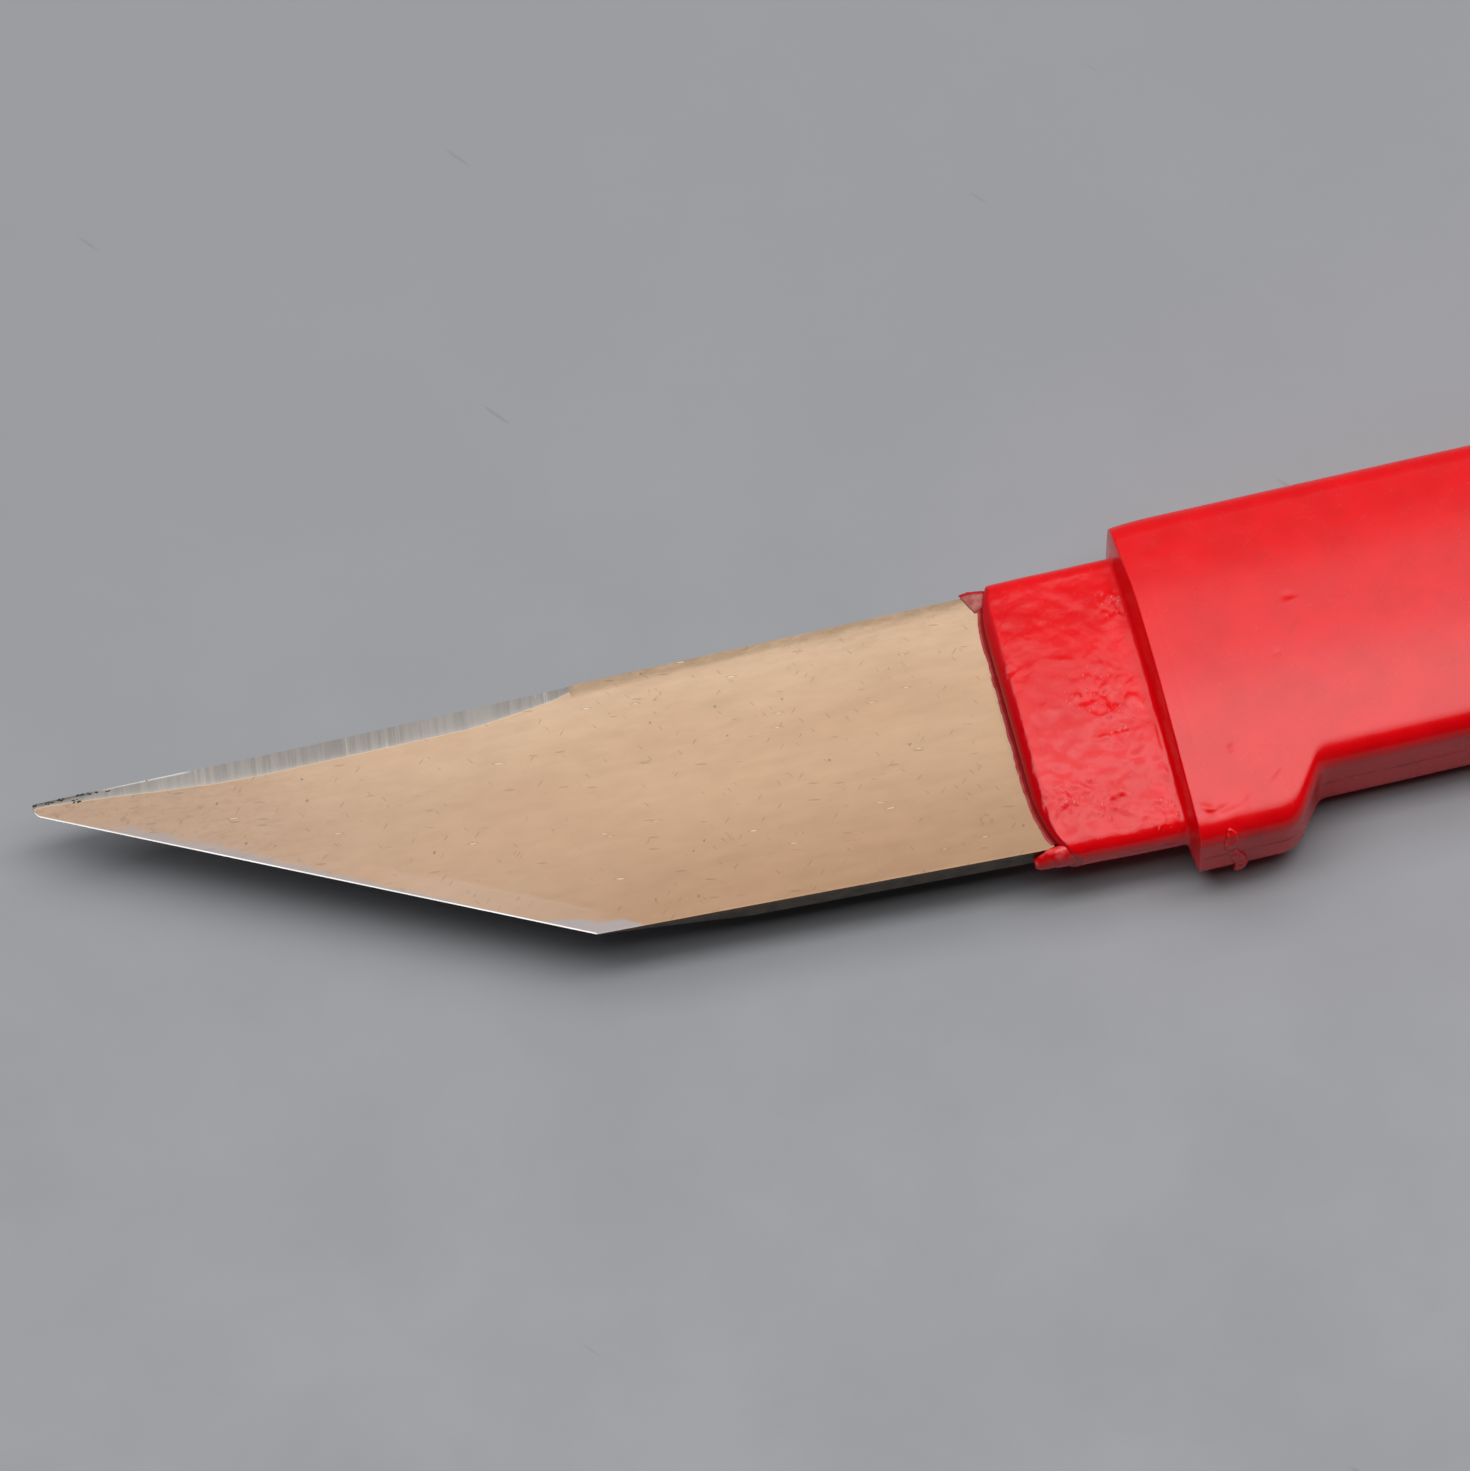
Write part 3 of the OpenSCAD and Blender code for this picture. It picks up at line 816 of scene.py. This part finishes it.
def handle_relief(points, normals):
    """How far each point of the handle stands proud of its plain form."""
    x, y, z = points.T
    behind_rim = x - SHOULDER_X
    facing_up = ease(0.75, 0.97, np.abs(normals[:, 2]))
    collar = window(x, COLLAR_X + 0.9, SHOULDER_X - SHOULDER_LEAN - 0.35, 0.3)
    grip = ease(0.2, 1, behind_rim)
    outside = ease(COLLAR_X - 0.1, COLLAR_X + 0.2, x)
    broad = lumps(points, 3.4, 4.1)
    fine = lumps(points, 1.1, 9.3)
    rippled = 0.3 + 0.7 * ease(3, -3, y)
    amount = collar * facing_up * (RIPPLE_H[0] * broad + RIPPLE_H[1] * rippled * fine)
    crinkle = 0.6 * lumps(points, 0.5, 3.9) + 0.4 * lumps(points * (1, 0.6, 1), 0.32, 8.2)
    amount += collar * facing_up * CRINKLE_H * crinkled(points) * crinkle
    amount += collar * (1 - facing_up) * RIPPLE_H[0] * broad
    amount += grip * (0.015 * lumps(points, 7, 5.5) + 0.003 * fine) * outside
    top = facing_up * (z > MIDDLE_Z)
    amount += top * grip * mark_heights(points, SHOULDER_X, GRIP_MARKS)
    amount += top * collar * mark_heights(points, COLLAR_X, COLLAR_MARKS)
    dip = np.exp(-((behind_rim - 1.2) / 0.16) ** 2) * window(y, -10, 4.5, 1.5)
    amount -= 0.014 * top * dip
    beside = (np.abs(normals[:, 1]) > 0.9) & (behind_rim > 0.3)
    seam = np.exp(-((z - MIDDLE_Z + 0.12 * lumps(points, 6, 1.1)) / 0.11) ** 2)
    amount += beside * seam * (SEAM_H + SEAM_H * lumps(points, 1.5, 7.7))
    return amount


def handle_masks(points, normals):
    """Where the collar's finish, its flecks, the parting line and the gate's scar lie, and the painted
    shade on the collar's nose.
    """
    x, _, z = points.T
    collar = 1 - ease(SHOULDER_X - SHOULDER_LEAN - 0.2, SHOULDER_X, x)
    up = ease(0.6, 0.95, normals[:, 2])
    behind_rim = x - SHOULDER_X
    seam = np.exp(-((z - MIDDLE_Z) / 0.09) ** 2) * (np.abs(normals[:, 1]) > 0.9)
    near_side = (normals[:, 1] < -0.8) * window(z, 2.7, 7.8, 0.3)
    # Painted shade: the nose mask darkens the collar's front rounding, which faces forward and gets less
    # light from overhead
    nose = ease(0.99, 0.93, normals[:, 2]) * ease(0.05, 0.25, -normals[:, 0])
    return {
        "collar": collar,
        "nose": 0.9 * nose * ease(COLLAR_X + NOSE_END, COLLAR_X + NOSE_END - 0.6, x),
        "flecks": crinkled(points) * collar * up,
        "seam": seam * (x > COLLAR_X + 1),
        "scar": 0.6 * near_side * window(behind_rim, 3.2, 4.7, 0.5),
    }


def add_red_piece(name, points, faces, material, masks, sharp=50):
    piece = new_piece(name, points, faces, [material], sharp, masks=masks)
    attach(piece, "root")
    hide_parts("handle")


def build_handle():
    rings = handle_rings()
    points, faces = loft(rings)
    normals = point_normals(points, faces)
    first_outer = PLAIN_RINGS * rings.shape[1]
    points[first_outer:] += (normals * handle_relief(points, normals)[:, None])[first_outer:]
    points[:, 2] = np.clip(points[:, 2], 0, 2 * MIDDLE_Z)
    points[:, 1] = np.minimum(points[:, 1], GRIP_SIDE)
    points[:, 0] = np.minimum(points[:, 0], BUTT_X)
    add_red_piece("moulded_handle", points, faces, plastic, handle_masks(points, normals), sharp=60)


def oval_rings(path, wide, thick, across, out, corners=20):
    """Oval rings round the points of a path; across and out are the ovals' two directions."""
    turn = np.linspace(0, 2 * pi, corners, endpoint=False)[:, None]
    return np.array([point + w * np.cos(turn) * np.array(across) + t * np.sin(turn) * np.array(out)
                     for point, w, t in zip(path, wide, thick)])


def smooth_path(knots, count):
    """Rows of numbers run smoothly through the given rows."""
    knots = np.array(knots, float)
    at = np.linspace(0, len(knots) - 1, count)
    first = np.clip(at.astype(int), 0, len(knots) - 2)
    t = ease(0, 1, (at - first)[:, None])
    return knots[first] * (1 - t) + knots[first + 1] * t


# Lip at the collar's near corner: behind the front, place across, height, half width and half height
LIP = ((-0.42, -12.36, 4.9, 0.08, 0.12), (-0.38, -12.36, 4.9, 0.3, 0.4), (-0.1, -12.38, 5, 0.44, 0.65),
       (0.5, -12.4, 5.25, 0.58, 0.95), (1.1, -12.42, 5.4, 0.68, 1.15), (1.9, -12.4, 5.4, 0.74, 1.2),
       (2.8, -12.35, 5.2, 0.6, 0.9), (3.6, -12.3, 5.1, 0.4, 0.5))
# Scar of the gate down the guard's side: behind the rim, outward, height, half width and half thickness
GATE_SCAR = ((2.1, -0.45, 8.35, 0.12, 0.1), (2.25, -0.2, 8.1, 0.4, 0.26), (2.2, 0, 7.2, 0.52, 0.3),
             (2.15, 0.02, 6.2, 0.42, 0.2), (2.4, 0.04, 5.2, 0.4, 0.26), (2.8, 0.06, 4.2, 0.5, 0.28),
             (3.05, 0.04, 3.2, 0.48, 0.3), (2.95, 0, 2.5, 0.4, 0.3), (2.7, -0.05, 2, 0.12, 0.12))


def build_lip_and_scar():
    """The lip of plastic at the collar's near corner and what the cut gate left on the guard."""
    x, y, z, wide, thick = smooth_path(LIP, 30).T
    rings = oval_rings(np.stack([COLLAR_X + x, y, z], axis=1), wide, thick, (0, 1, 0), (0, 0, 1))
    turn = np.linspace(0, 1, rings.shape[1], endpoint=False)
    # A painted highlight along the lip's upper side
    lump_highlight = np.tile(window(turn, 0.12, 0.42, 0.06), len(rings))
    add_rough_oval("collar_lip", rings, 0.1, 0.55, 0.7 * lump_highlight)
    x, outward, z, wide, thick = smooth_path(GATE_SCAR, 60).T
    path = np.stack([SHOULDER_X + x, GUARD_SIDE - outward, z], axis=1)
    rings = oval_rings(path, wide, thick, (1, 0, 0.2), (0, -1, 0.1))
    # Painted highlight lines along two sides of the gate's scar
    lump_highlight = 0.25 * np.maximum(window(turn, 0.36, 0.5, 0.04), 0.5 * window(turn, 0.02, 0.1, 0.03))
    add_rough_oval("gate_scar", rings, 0.12, 0.5, np.tile(lump_highlight, len(rings)))


def add_rough_oval(name, rings, depth, size, lump_highlight):
    """A red lump whose surface is roughened by noise; lump_highlight marks where a painted highlight
    lightens it.
    """
    points, faces = loft(rings)
    points = points + point_normals(points, faces) * (depth * lumps(points, size, 3.3))[:, None]
    points[:, 1] = np.maximum(points[:, 1], handle_low[1])
    lump_highlight = lump_highlight * ease(-0.3, 0.3, lumps(points, 0.5, 8.8))
    add_red_piece(name, points, faces, plastic, {"lump_highlight": lump_highlight, "scar": np.full(len(points), 0.5)})


# Corners of the flake of flash on the blade: behind the collar's front and place across
FLAKE_LOW = ((-0.58, 9.27), (0.24, 7.61), (0.55, 7.75), (1.3, 8.2))
FLAKE_HIGH = ((-0.58, 9.3), (0.1, 9.39), (1.3, 9.21))
FLAKE_LIFT = 0.005
FLAKE_THICK = 0.07
# The edge of flash along the mouth: its ends across, its underside's and its top's height over the face
FLASH_ENDS = (8.4, -11.7)
FLASH_LIFT = 0.003
FLASH_TOP = 0.06


def mouth_x(y):
    """Where the collar's rounded front meets the blade's face, at place y across."""
    return COLLAR_X + corner_fall(y)


def sheet_rings(first, second, bottom, top, columns):
    """Rings round a thin sheet that spans between two edges, each given as its x and its y."""
    share = np.linspace(0, 1, columns)[:, None]
    rings = []
    for a, b in zip(np.transpose(first), np.transpose(second)):
        upper = np.column_stack([a + share * (b - a), np.full(columns, top)])
        lower = np.column_stack([a + share[::-1] * (b - a), np.full(columns, bottom)])
        rings.append(np.vstack([upper, lower]))
    return np.array(rings)


def build_flash():
    """The flake at the collar's far corner and the thin edge of flash along its mouth."""
    x = np.linspace(FLAKE_LOW[0][0], FLAKE_LOW[-1][0], 40)
    low_y = read_table(x, FLAKE_LOW) + 0.05 * lumps(x[:, None] * (1, 0, 0), 0.3)
    high_y = read_table(x, FLAKE_HIGH) + 0.04 * lumps(x[:, None] * (1, 1, 0), 0.3)
    low, high = (x + COLLAR_X, low_y), (x + COLLAR_X, high_y)
    columns = 14
    rings = sheet_rings(low, high, FACE_Z + FLAKE_LIFT, FACE_Z + FLAKE_LIFT + FLAKE_THICK, columns)
    points, faces = loft(rings)
    points[:, 2] += 0.04 * np.maximum(lumps(points, 0.6, 2.2), -0.1)
    share = np.r_[np.linspace(0, 1, columns), np.linspace(1, 0, columns)]
    reach = read_table(points[:, 0] - COLLAR_X, FLAKE_HIGH) - points[:, 1]
    dark_edge = np.tile(ease(0.12, 0, share), len(rings))
    add_red_piece("flash_flake", points, faces, flash,
                  {"thick": 1 - ease(0.18, 0.3, reach), "dark_edge": dark_edge})
    y = np.linspace(*FLASH_ENDS, 150)
    along = y[:, None] * (0, 1, 0)
    outer = mouth_x(y) + 0.12 - 0.07 * lumps(along, 1.1, 4.4) - 0.05 * lumps(along, 0.35, 6.6)
    inner = mouth_x(y) + NOSE_SET_BACK + 0.12
    rings = sheet_rings((outer, y), (inner, y), FACE_Z + FLASH_LIFT, FACE_Z + FLASH_TOP, 9)
    points, faces = loft(rings)
    # The back of the edge, under the nose, gets painted crevice shade
    back = ease(0.14, 0.2, points[:, 0] - np.repeat(outer, rings.shape[1]))
    add_red_piece("flash_edge", points, faces, flash,
                  {"dark_edge": back, "thick": np.full(len(points), 0.6)})


# Blade

# Length of the spine's relief, and how far before its end the bare steel stops
RELIEF_LEN = 40
RELIEF_STOP = 0.02
# The relief's least width, its greatest share of the blade's width, and how its slope bends
RELIEF_LEAST_W = 0.1
RELIEF_MOST_SHARE = 0.45
RELIEF_BEND = 1.3
# Width of the pale rim between the face and the relief
FACE_RIM_W = 0.09
# Distance behind the tip and width of the bare relief along the spine, then of the coated chamfer
RELIEF_WIDTHS = ((0, 0.35), (2.7, 0.53), (6.3, 0.85), (9.9, 1.24), (13.6, 1.57), (17.3, 1.69),
                 (32.2, 1.69), (36, 1.28), (38.4, 0.95), (39.9, 0.6))
CHAMFER_WIDTHS = ((40, 1.05), (50, 0.8), (60, 0.6), (72, 0.45))
# Distance behind the tip and how far the ground strip drops at the spine
RELIEF_DROPS = ((0, 0.12), (6, 0.2), (12, 0.28), (21, 0.5), (26, 0.42), (33, 0.36),
                (39.5, 0.3), (40.5, 0.09), (55, 0.05), (72, 0.04))
# Distance behind the tip and height of the bare patch at the heel
HEEL_PATCH = ((33.5, 0.02), (36.3, 0.9), (37.2, 0.95), (39.5, 0.85), (41, 0.02))
# Rows of points across the face, crowded towards the edge, then the relief, the spine and the back
FACE_ROWS = 60
FACE_CROWDING = 1.7
RELIEF_ROWS = 7
WALL_ROWS = 4
BACK_ROWS = 12
# The honed line along the cutting edge, and the length and widths of the tip's rounding
HONE_W = 0.11
HONE_DROP = 0.012
TIP_R = 0.45
TIP_UPPER_IN = 0.3
TIP_LOWER_IN = 0.42
# Rings close to the tip, and the spacing of the others before and behind the relief's end
TIP_STATIONS = (0, 0.01, 0.03, 0.07, 0.12, 0.2, 0.3, 0.4)
RELIEF_PITCH = 0.2
CHAMFER_PITCH = 0.25
# Materials of the blade, in the order of its slots
LACQUER, RELIEF, HONE, SIDE, UNDER = range(5)


def spine_line(x):
    return SPINE_Y + (COLLAR_X - x) * tan(SPINE_LEAN)


def lower_line(x):
    return LOWER_Y + (COLLAR_X - x) * tan(LOWER_LEAN)


def cutting_line(x):
    return EDGE_Y - (x - TIP_X) * tan(SKEW)


def blade_ring(t):
    """One closed ring of the steel layer at distance t behind the tip."""
    x = TIP_X + t
    buried = x > COLLAR_X
    upper = SPINE_Y if buried else spine_line(x)
    lower = LOWER_Y if buried else max(cutting_line(x), lower_line(x))
    if t < TIP_R:
        upper -= drawn_in(t, TIP_R, TIP_UPPER_IN)
        lower += drawn_in(t, TIP_R, TIP_LOWER_IN)
    widths = RELIEF_WIDTHS if t < RELIEF_LEN else CHAMFER_WIDTHS
    width = read_table(t, widths) + 0.03 * noise.noise(Vector((t * 1.3, 0, 0)))
    bound = upper - min(max(width, RELIEF_LEAST_W), RELIEF_MOST_SHARE * (upper - lower))
    drop = read_table(t, RELIEF_DROPS) + 0.04 * noise.noise(Vector((t * 0.8, 5, 0)))
    honed = min(lower + HONE_W, (lower + bound) / 2)
    share = np.linspace(0, 1, FACE_ROWS - 1) ** FACE_CROWDING
    inner = max(bound - FACE_RIM_W, (honed + bound) / 2)
    face_y = np.append(honed + share * (inner - honed), bound)
    relief_y = np.linspace(bound, upper, RELIEF_ROWS + 1)[1:]
    share = (relief_y - bound) / (upper - bound)
    relief_z = FACE_Z - drop * share ** RELIEF_BEND
    wall_z = np.linspace(FACE_Z - drop, STEEL_BACK_Z, WALL_ROWS + 2)[1:-1]
    bevel_tan = tan(BEVEL)

    def under(y):
        rise = (y - cutting_line(x)) * cos(SKEW) * bevel_tan
        return max(STEEL_BACK_Z, FACE_Z - EDGE_LAND - max(rise, 0)) if not buried else STEEL_BACK_Z
    reach = (FACE_Z - EDGE_LAND - STEEL_BACK_Z) / bevel_tan / cos(SKEW)
    ridge = min(max(cutting_line(x) + reach, lower), upper)
    to_edge = np.linspace(ridge, lower, BACK_ROWS + 1)[1:]
    back_y = np.r_[np.linspace(upper, ridge, BACK_ROWS), to_edge]
    back_z = [under(value) for value in back_y]
    y = np.r_[[lower], face_y, relief_y, np.full(WALL_ROWS, upper), back_y]
    z = np.r_[[FACE_Z - HONE_DROP], np.full(FACE_ROWS, FACE_Z), relief_z, wall_z, back_z]
    return np.stack([np.full_like(y, x), y, z], axis=1)


def blade_masks(points, ring_size):
    """Wear and colour masks over the blade's flat face."""
    x, y, z = points.T
    t = x - TIP_X
    from_edge = (y - EDGE_Y + t * tan(SKEW)) * cos(SKEW)
    from_lower = y - LOWER_Y - (COLLAR_X - x) * tan(LOWER_LEAN)
    from_spine = spine_line(x) - y
    share = (y - LOWER_Y) / (SPINE_Y - LOWER_Y)
    narrowing = 0.04 * np.maximum(t - 14, 0)
    front = window(t, 5, 28, 3) * (1 - ease(0.1, 1.4, from_edge + narrowing))
    thin = window(t, 1, 33, 1) * (1 - ease(0, 0.3, from_edge))
    point = 1 - ease(0.2, 0.9, t + from_edge)
    heel = 1 - ease(0.6, 1.4, np.minimum(from_edge, from_lower) / read_table(t, HEEL_PATCH))
    heel *= window(t, 33.8, 40.8, 0.3)
    rubbed = window(t, 24, 38, 2) * (1 - ease(1.4, 1.8, from_edge))
    stripe = window(t, 27, 38, 1.5) * np.exp(-((from_edge - 1.75) / 0.14) ** 2)
    near_collar = ease(50, 64, t) * ease(3, 0.5, from_spine)
    rim = np.zeros((len(points) // ring_size, ring_size))
    rim[:, FACE_ROWS] = 1
    return {
        "rim": np.ravel(rim) * (t < RELIEF_LEN),
        "burr": window(t, 5.2, 11.6, 0.5) * ease(0.12, 0.05, from_spine),
        # across and crest_sheen carry painted sheen towards the spine
        "across": ease(0, 0.6, share),
        "crest_sheen": 0.8 * ease(0.6, 1, share) * ease(10, 28, t),
        "front": 1 - ease(2, 50, t),
        "worn": np.clip(0.8 * front + thin + 0.9 * heel + 0.8 * point, 0, 1),
        "rubbed": np.clip(rubbed * 0.7 + stripe, 0, 1),
        "soot": 0.5 * (window(t, -1, 4.6, 1) * ease(0.4, 0.05, from_spine)),
        "soiled": np.maximum(1 - ease(10, 26, t), near_collar),
        "spine_dirt": ease(38, 42, t) * ease(1.1, 0.5, from_spine),
        "brown": (z > STEEL_BACK_Z + 0.2) * (from_lower < 0.3),
    }


def face_slot(row, size, t, heel_t):
    """Material of the face between a row and the next, at distance t behind the tip."""
    if row == 0:
        return HONE if t < heel_t else LACQUER
    if row < FACE_ROWS:
        return LACQUER
    if row < FACE_ROWS + RELIEF_ROWS:
        return RELIEF if t < RELIEF_LEN - RELIEF_STOP else LACQUER
    return SIDE if row <= FACE_ROWS + RELIEF_ROWS + WALL_ROWS or row == size - 1 else UNDER


def build_blade():
    """The steel layer, from the tip over the heel of the cutting edge to its seat in the collar."""
    heel_t = (EDGE_Y - lower_line(TIP_X)) / (tan(SKEW) - tan(LOWER_LEAN))
    seat_t = COLLAR_X - TIP_X
    stations = np.r_[
        TIP_STATIONS, steps(0.5, heel_t, RELIEF_PITCH),
        steps(heel_t + RELIEF_PITCH, RELIEF_LEN - 0.1, RELIEF_PITCH), RELIEF_LEN - 0.03,
        steps(RELIEF_LEN + RELIEF_STOP, seat_t, CHAMFER_PITCH), seat_t + 0.001, TANG_X - TIP_X]
    rings = np.array([blade_ring(t) for t in stations])
    points, faces = loft(rings)
    size = rings.shape[1]
    slots = [face_slot(row, size, t, heel_t) for t in stations[:-1] for row in range(size)] + [SIDE, SIDE]
    materials = [lacquer, relief_steel, honed_steel, strip_side, bevel_steel]
    piece = new_piece("lacquered_face", points, faces, materials, 18, slots, blade_masks(points, size))
    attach(piece, "root")
    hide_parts("edge_steel")


# Clumps of residue: behind the tip, below the spine's line, half length, half width and crumbs
RESIDUE_CLUMPS = (
    (0.1, 0.2, 0.12, 0.1, 3), (1.2, 0.22, 0.4, 0.12, 7), (2.05, 0.12, 0.32, 0.13, 6),
    (2.95, 0.52, 0.45, 0.12, 8), (3.45, 0.1, 0.35, 0.1, 6), (4.35, 0.12, 0.45, 0.1, 7),
    (5.5, 0.22, 0.18, 0.06, 3), (8.6, 0.04, 0.3, 0.05, 3))
RESIDUE_SEED = 11
# Where the first crumb may lie behind the tip
RESIDUE_START = 0.12
# Places along a crumb where its rings lie, as shares of its half length
CRUMB_RINGS = np.array([-0.98, -0.7, 0, 0.7, 0.98])


def build_residue():
    """Crumbs of dried slurry in clumps along the spine behind the tip."""
    chance = np.random.default_rng(RESIDUE_SEED)
    points, faces = [], []
    crumbs = [clump[:4] for clump in RESIDUE_CLUMPS for _ in range(clump[4])]
    for number, (behind, below, half_len, half_w) in enumerate(crumbs):
        size = half_w * chance.uniform(0.4, 0.85)
        x = TIP_X + RESIDUE_START + max(behind + half_len * chance.uniform(-0.9, 0.9), 0)
        y = spine_line(x) - max(below + half_w * chance.uniform(-0.9, 0.9), 0.8 * size)
        drop = read_table(x - TIP_X, RELIEF_DROPS) * (1 - (spine_line(x) - y) / 0.6)
        z = FACE_Z - max(drop, 0) + 0.2 * size
        long = size * chance.uniform(1, 2.6)
        turn = chance.uniform(-0.7, 0.7)
        run = np.array([cos(turn), sin(turn), 0])
        path = np.array([x, y, z]) + CRUMB_RINGS[:, None] * run * long
        width = size * np.sqrt(1 - CRUMB_RINGS ** 2)
        across = (-sin(turn), cos(turn), 0)
        rings = oval_rings(path, width, 0.7 * width, across, (0, 0, 1), corners=8)
        crumb, crumb_faces = loft(rings)
        crumb += (crumb - crumb.mean(axis=0)) * (0.45 * lumps(crumb, 0.09, number))[:, None]
        crumb[:, 0] = np.maximum(crumb[:, 0], TIP_X)
        faces += [[i + len(points) for i in face] for face in crumb_faces]
        points += crumb.tolist()
    piece = new_piece("tip_residue", points, faces, [residue], 60)
    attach(piece, "root")
    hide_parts("edge_steel")


plastic = red_moulded_plastic()
lacquer = bronze_lacquer()
flash = thin_flash()
relief_steel = ground_steel("relief_ground_steel", RELIEF_STEEL, 0.45, (0.45, 0.55), radians(8), 0.15)
honed_steel = ground_steel("honed_edge_steel", HONED_STEEL, 0.7, (0.25, 0.35), radians(-60), 0.15)
bevel_steel = ground_steel("bevel_ground_steel", BEVEL_STEEL, 0.9, (0.25, 0.42), SKEW, 0.28)
residue = dried_residue()
strip_side = forged_iron()

build_handle()
build_lip_and_scar()
build_flash()
build_blade()
build_residue()

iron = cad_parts["soft_iron_body"]
iron.data.materials.clear()
iron.data.materials.append(strip_side)

# Floor, light and camera

FLOOR_HALF = 1.5
SOFTBOX_X = -0.04
SOFTBOX_Z = 0.62
# Place across the bench, length, width and power of the wide softbox and of its brighter strip
SOFTBOX_PARTS = ((0.135, 0.8, 0.68, 3.78), (0.05, 0.9, 0.14, 1.73))
# Light from the dim room on the camera's side and from the pale wall behind the bench
ROOM_NEAR = (0.03, 0.03, 0.031, 1)
ROOM_FAR = (0.3, 0.3, 0.308, 1)
# How far towards the back a direction points while the one passes into the other
ROOM_SPAN = (0.35, 0.7)
CAMERA_TARGET = Vector((-79.21, 4.91, 0.3)) * MM
CAMERA_AZIMUTH = radians(-13.99)
CAMERA_ELEVATION = radians(65.22)
CAMERA_DISTANCE = 1.0343
FOCAL_PIXELS = 14146


def build_stage():
    corners = [(-1, -1, 0), (1, -1, 0), (1, 1, 0), (-1, 1, 0)]
    mesh = bpy.data.meshes.new("floor")
    mesh.from_pydata([Vector(c) * FLOOR_HALF for c in corners], [], [(0, 1, 2, 3)])
    mesh.materials.append(pale_floor())
    floor = add_object("floor", mesh)


def build_light():
    """Two overhead softboxes in a dim room with a pale wall behind the bench."""
    for number, (across, length, width, power) in enumerate(SOFTBOX_PARTS):
        lamp = bpy.data.lights.new(f"softbox_{number}", "AREA")
        lamp.shape = "RECTANGLE"
        lamp.size = length
        lamp.size_y = width
        lamp.energy = power
        add_object(lamp.name, lamp).location = (SOFTBOX_X, across, SOFTBOX_Z)
    world = bpy.data.worlds.new("studio")
    bpy.context.scene.world = world
    world.use_nodes = True
    tree = world.node_tree
    tree.nodes.clear()
    direction = shader_node(tree, "ShaderNodeTexCoord").outputs["Generated"]
    away = shader_node(tree, "ShaderNodeSeparateXYZ", {0: direction}).outputs[1]
    shade = mix_colour(ramp(away, *ROOM_SPAN), ROOM_NEAR, ROOM_FAR)
    back = shader_node(tree, "ShaderNodeBackground", {"Color": shade})
    out = tree.nodes.new("ShaderNodeOutputWorld")
    tree.links.new(back.outputs[0], out.inputs[0])


def build_camera():
    a, e = CAMERA_AZIMUTH, CAMERA_ELEVATION
    back = Vector((sin(a) * cos(e), -cos(a) * cos(e), sin(e)))
    right = Vector((cos(a), sin(a), 0))
    up = back.cross(right)
    lens = bpy.data.cameras.new("camera")
    lens.sensor_fit = "HORIZONTAL"
    lens.lens = FOCAL_PIXELS / PHOTO_WIDTH * lens.sensor_width
    lens.clip_start = 0.05
    camera = add_object("camera", lens)
    turned = Matrix((right, up, back)).transposed().to_4x4()
    camera.matrix_world = Matrix.Translation(CAMERA_TARGET + back * CAMERA_DISTANCE) @ turned
    bpy.context.scene.camera = camera


build_stage()
build_light()
build_camera()
bpy.context.scene.view_settings.view_transform = "Standard"
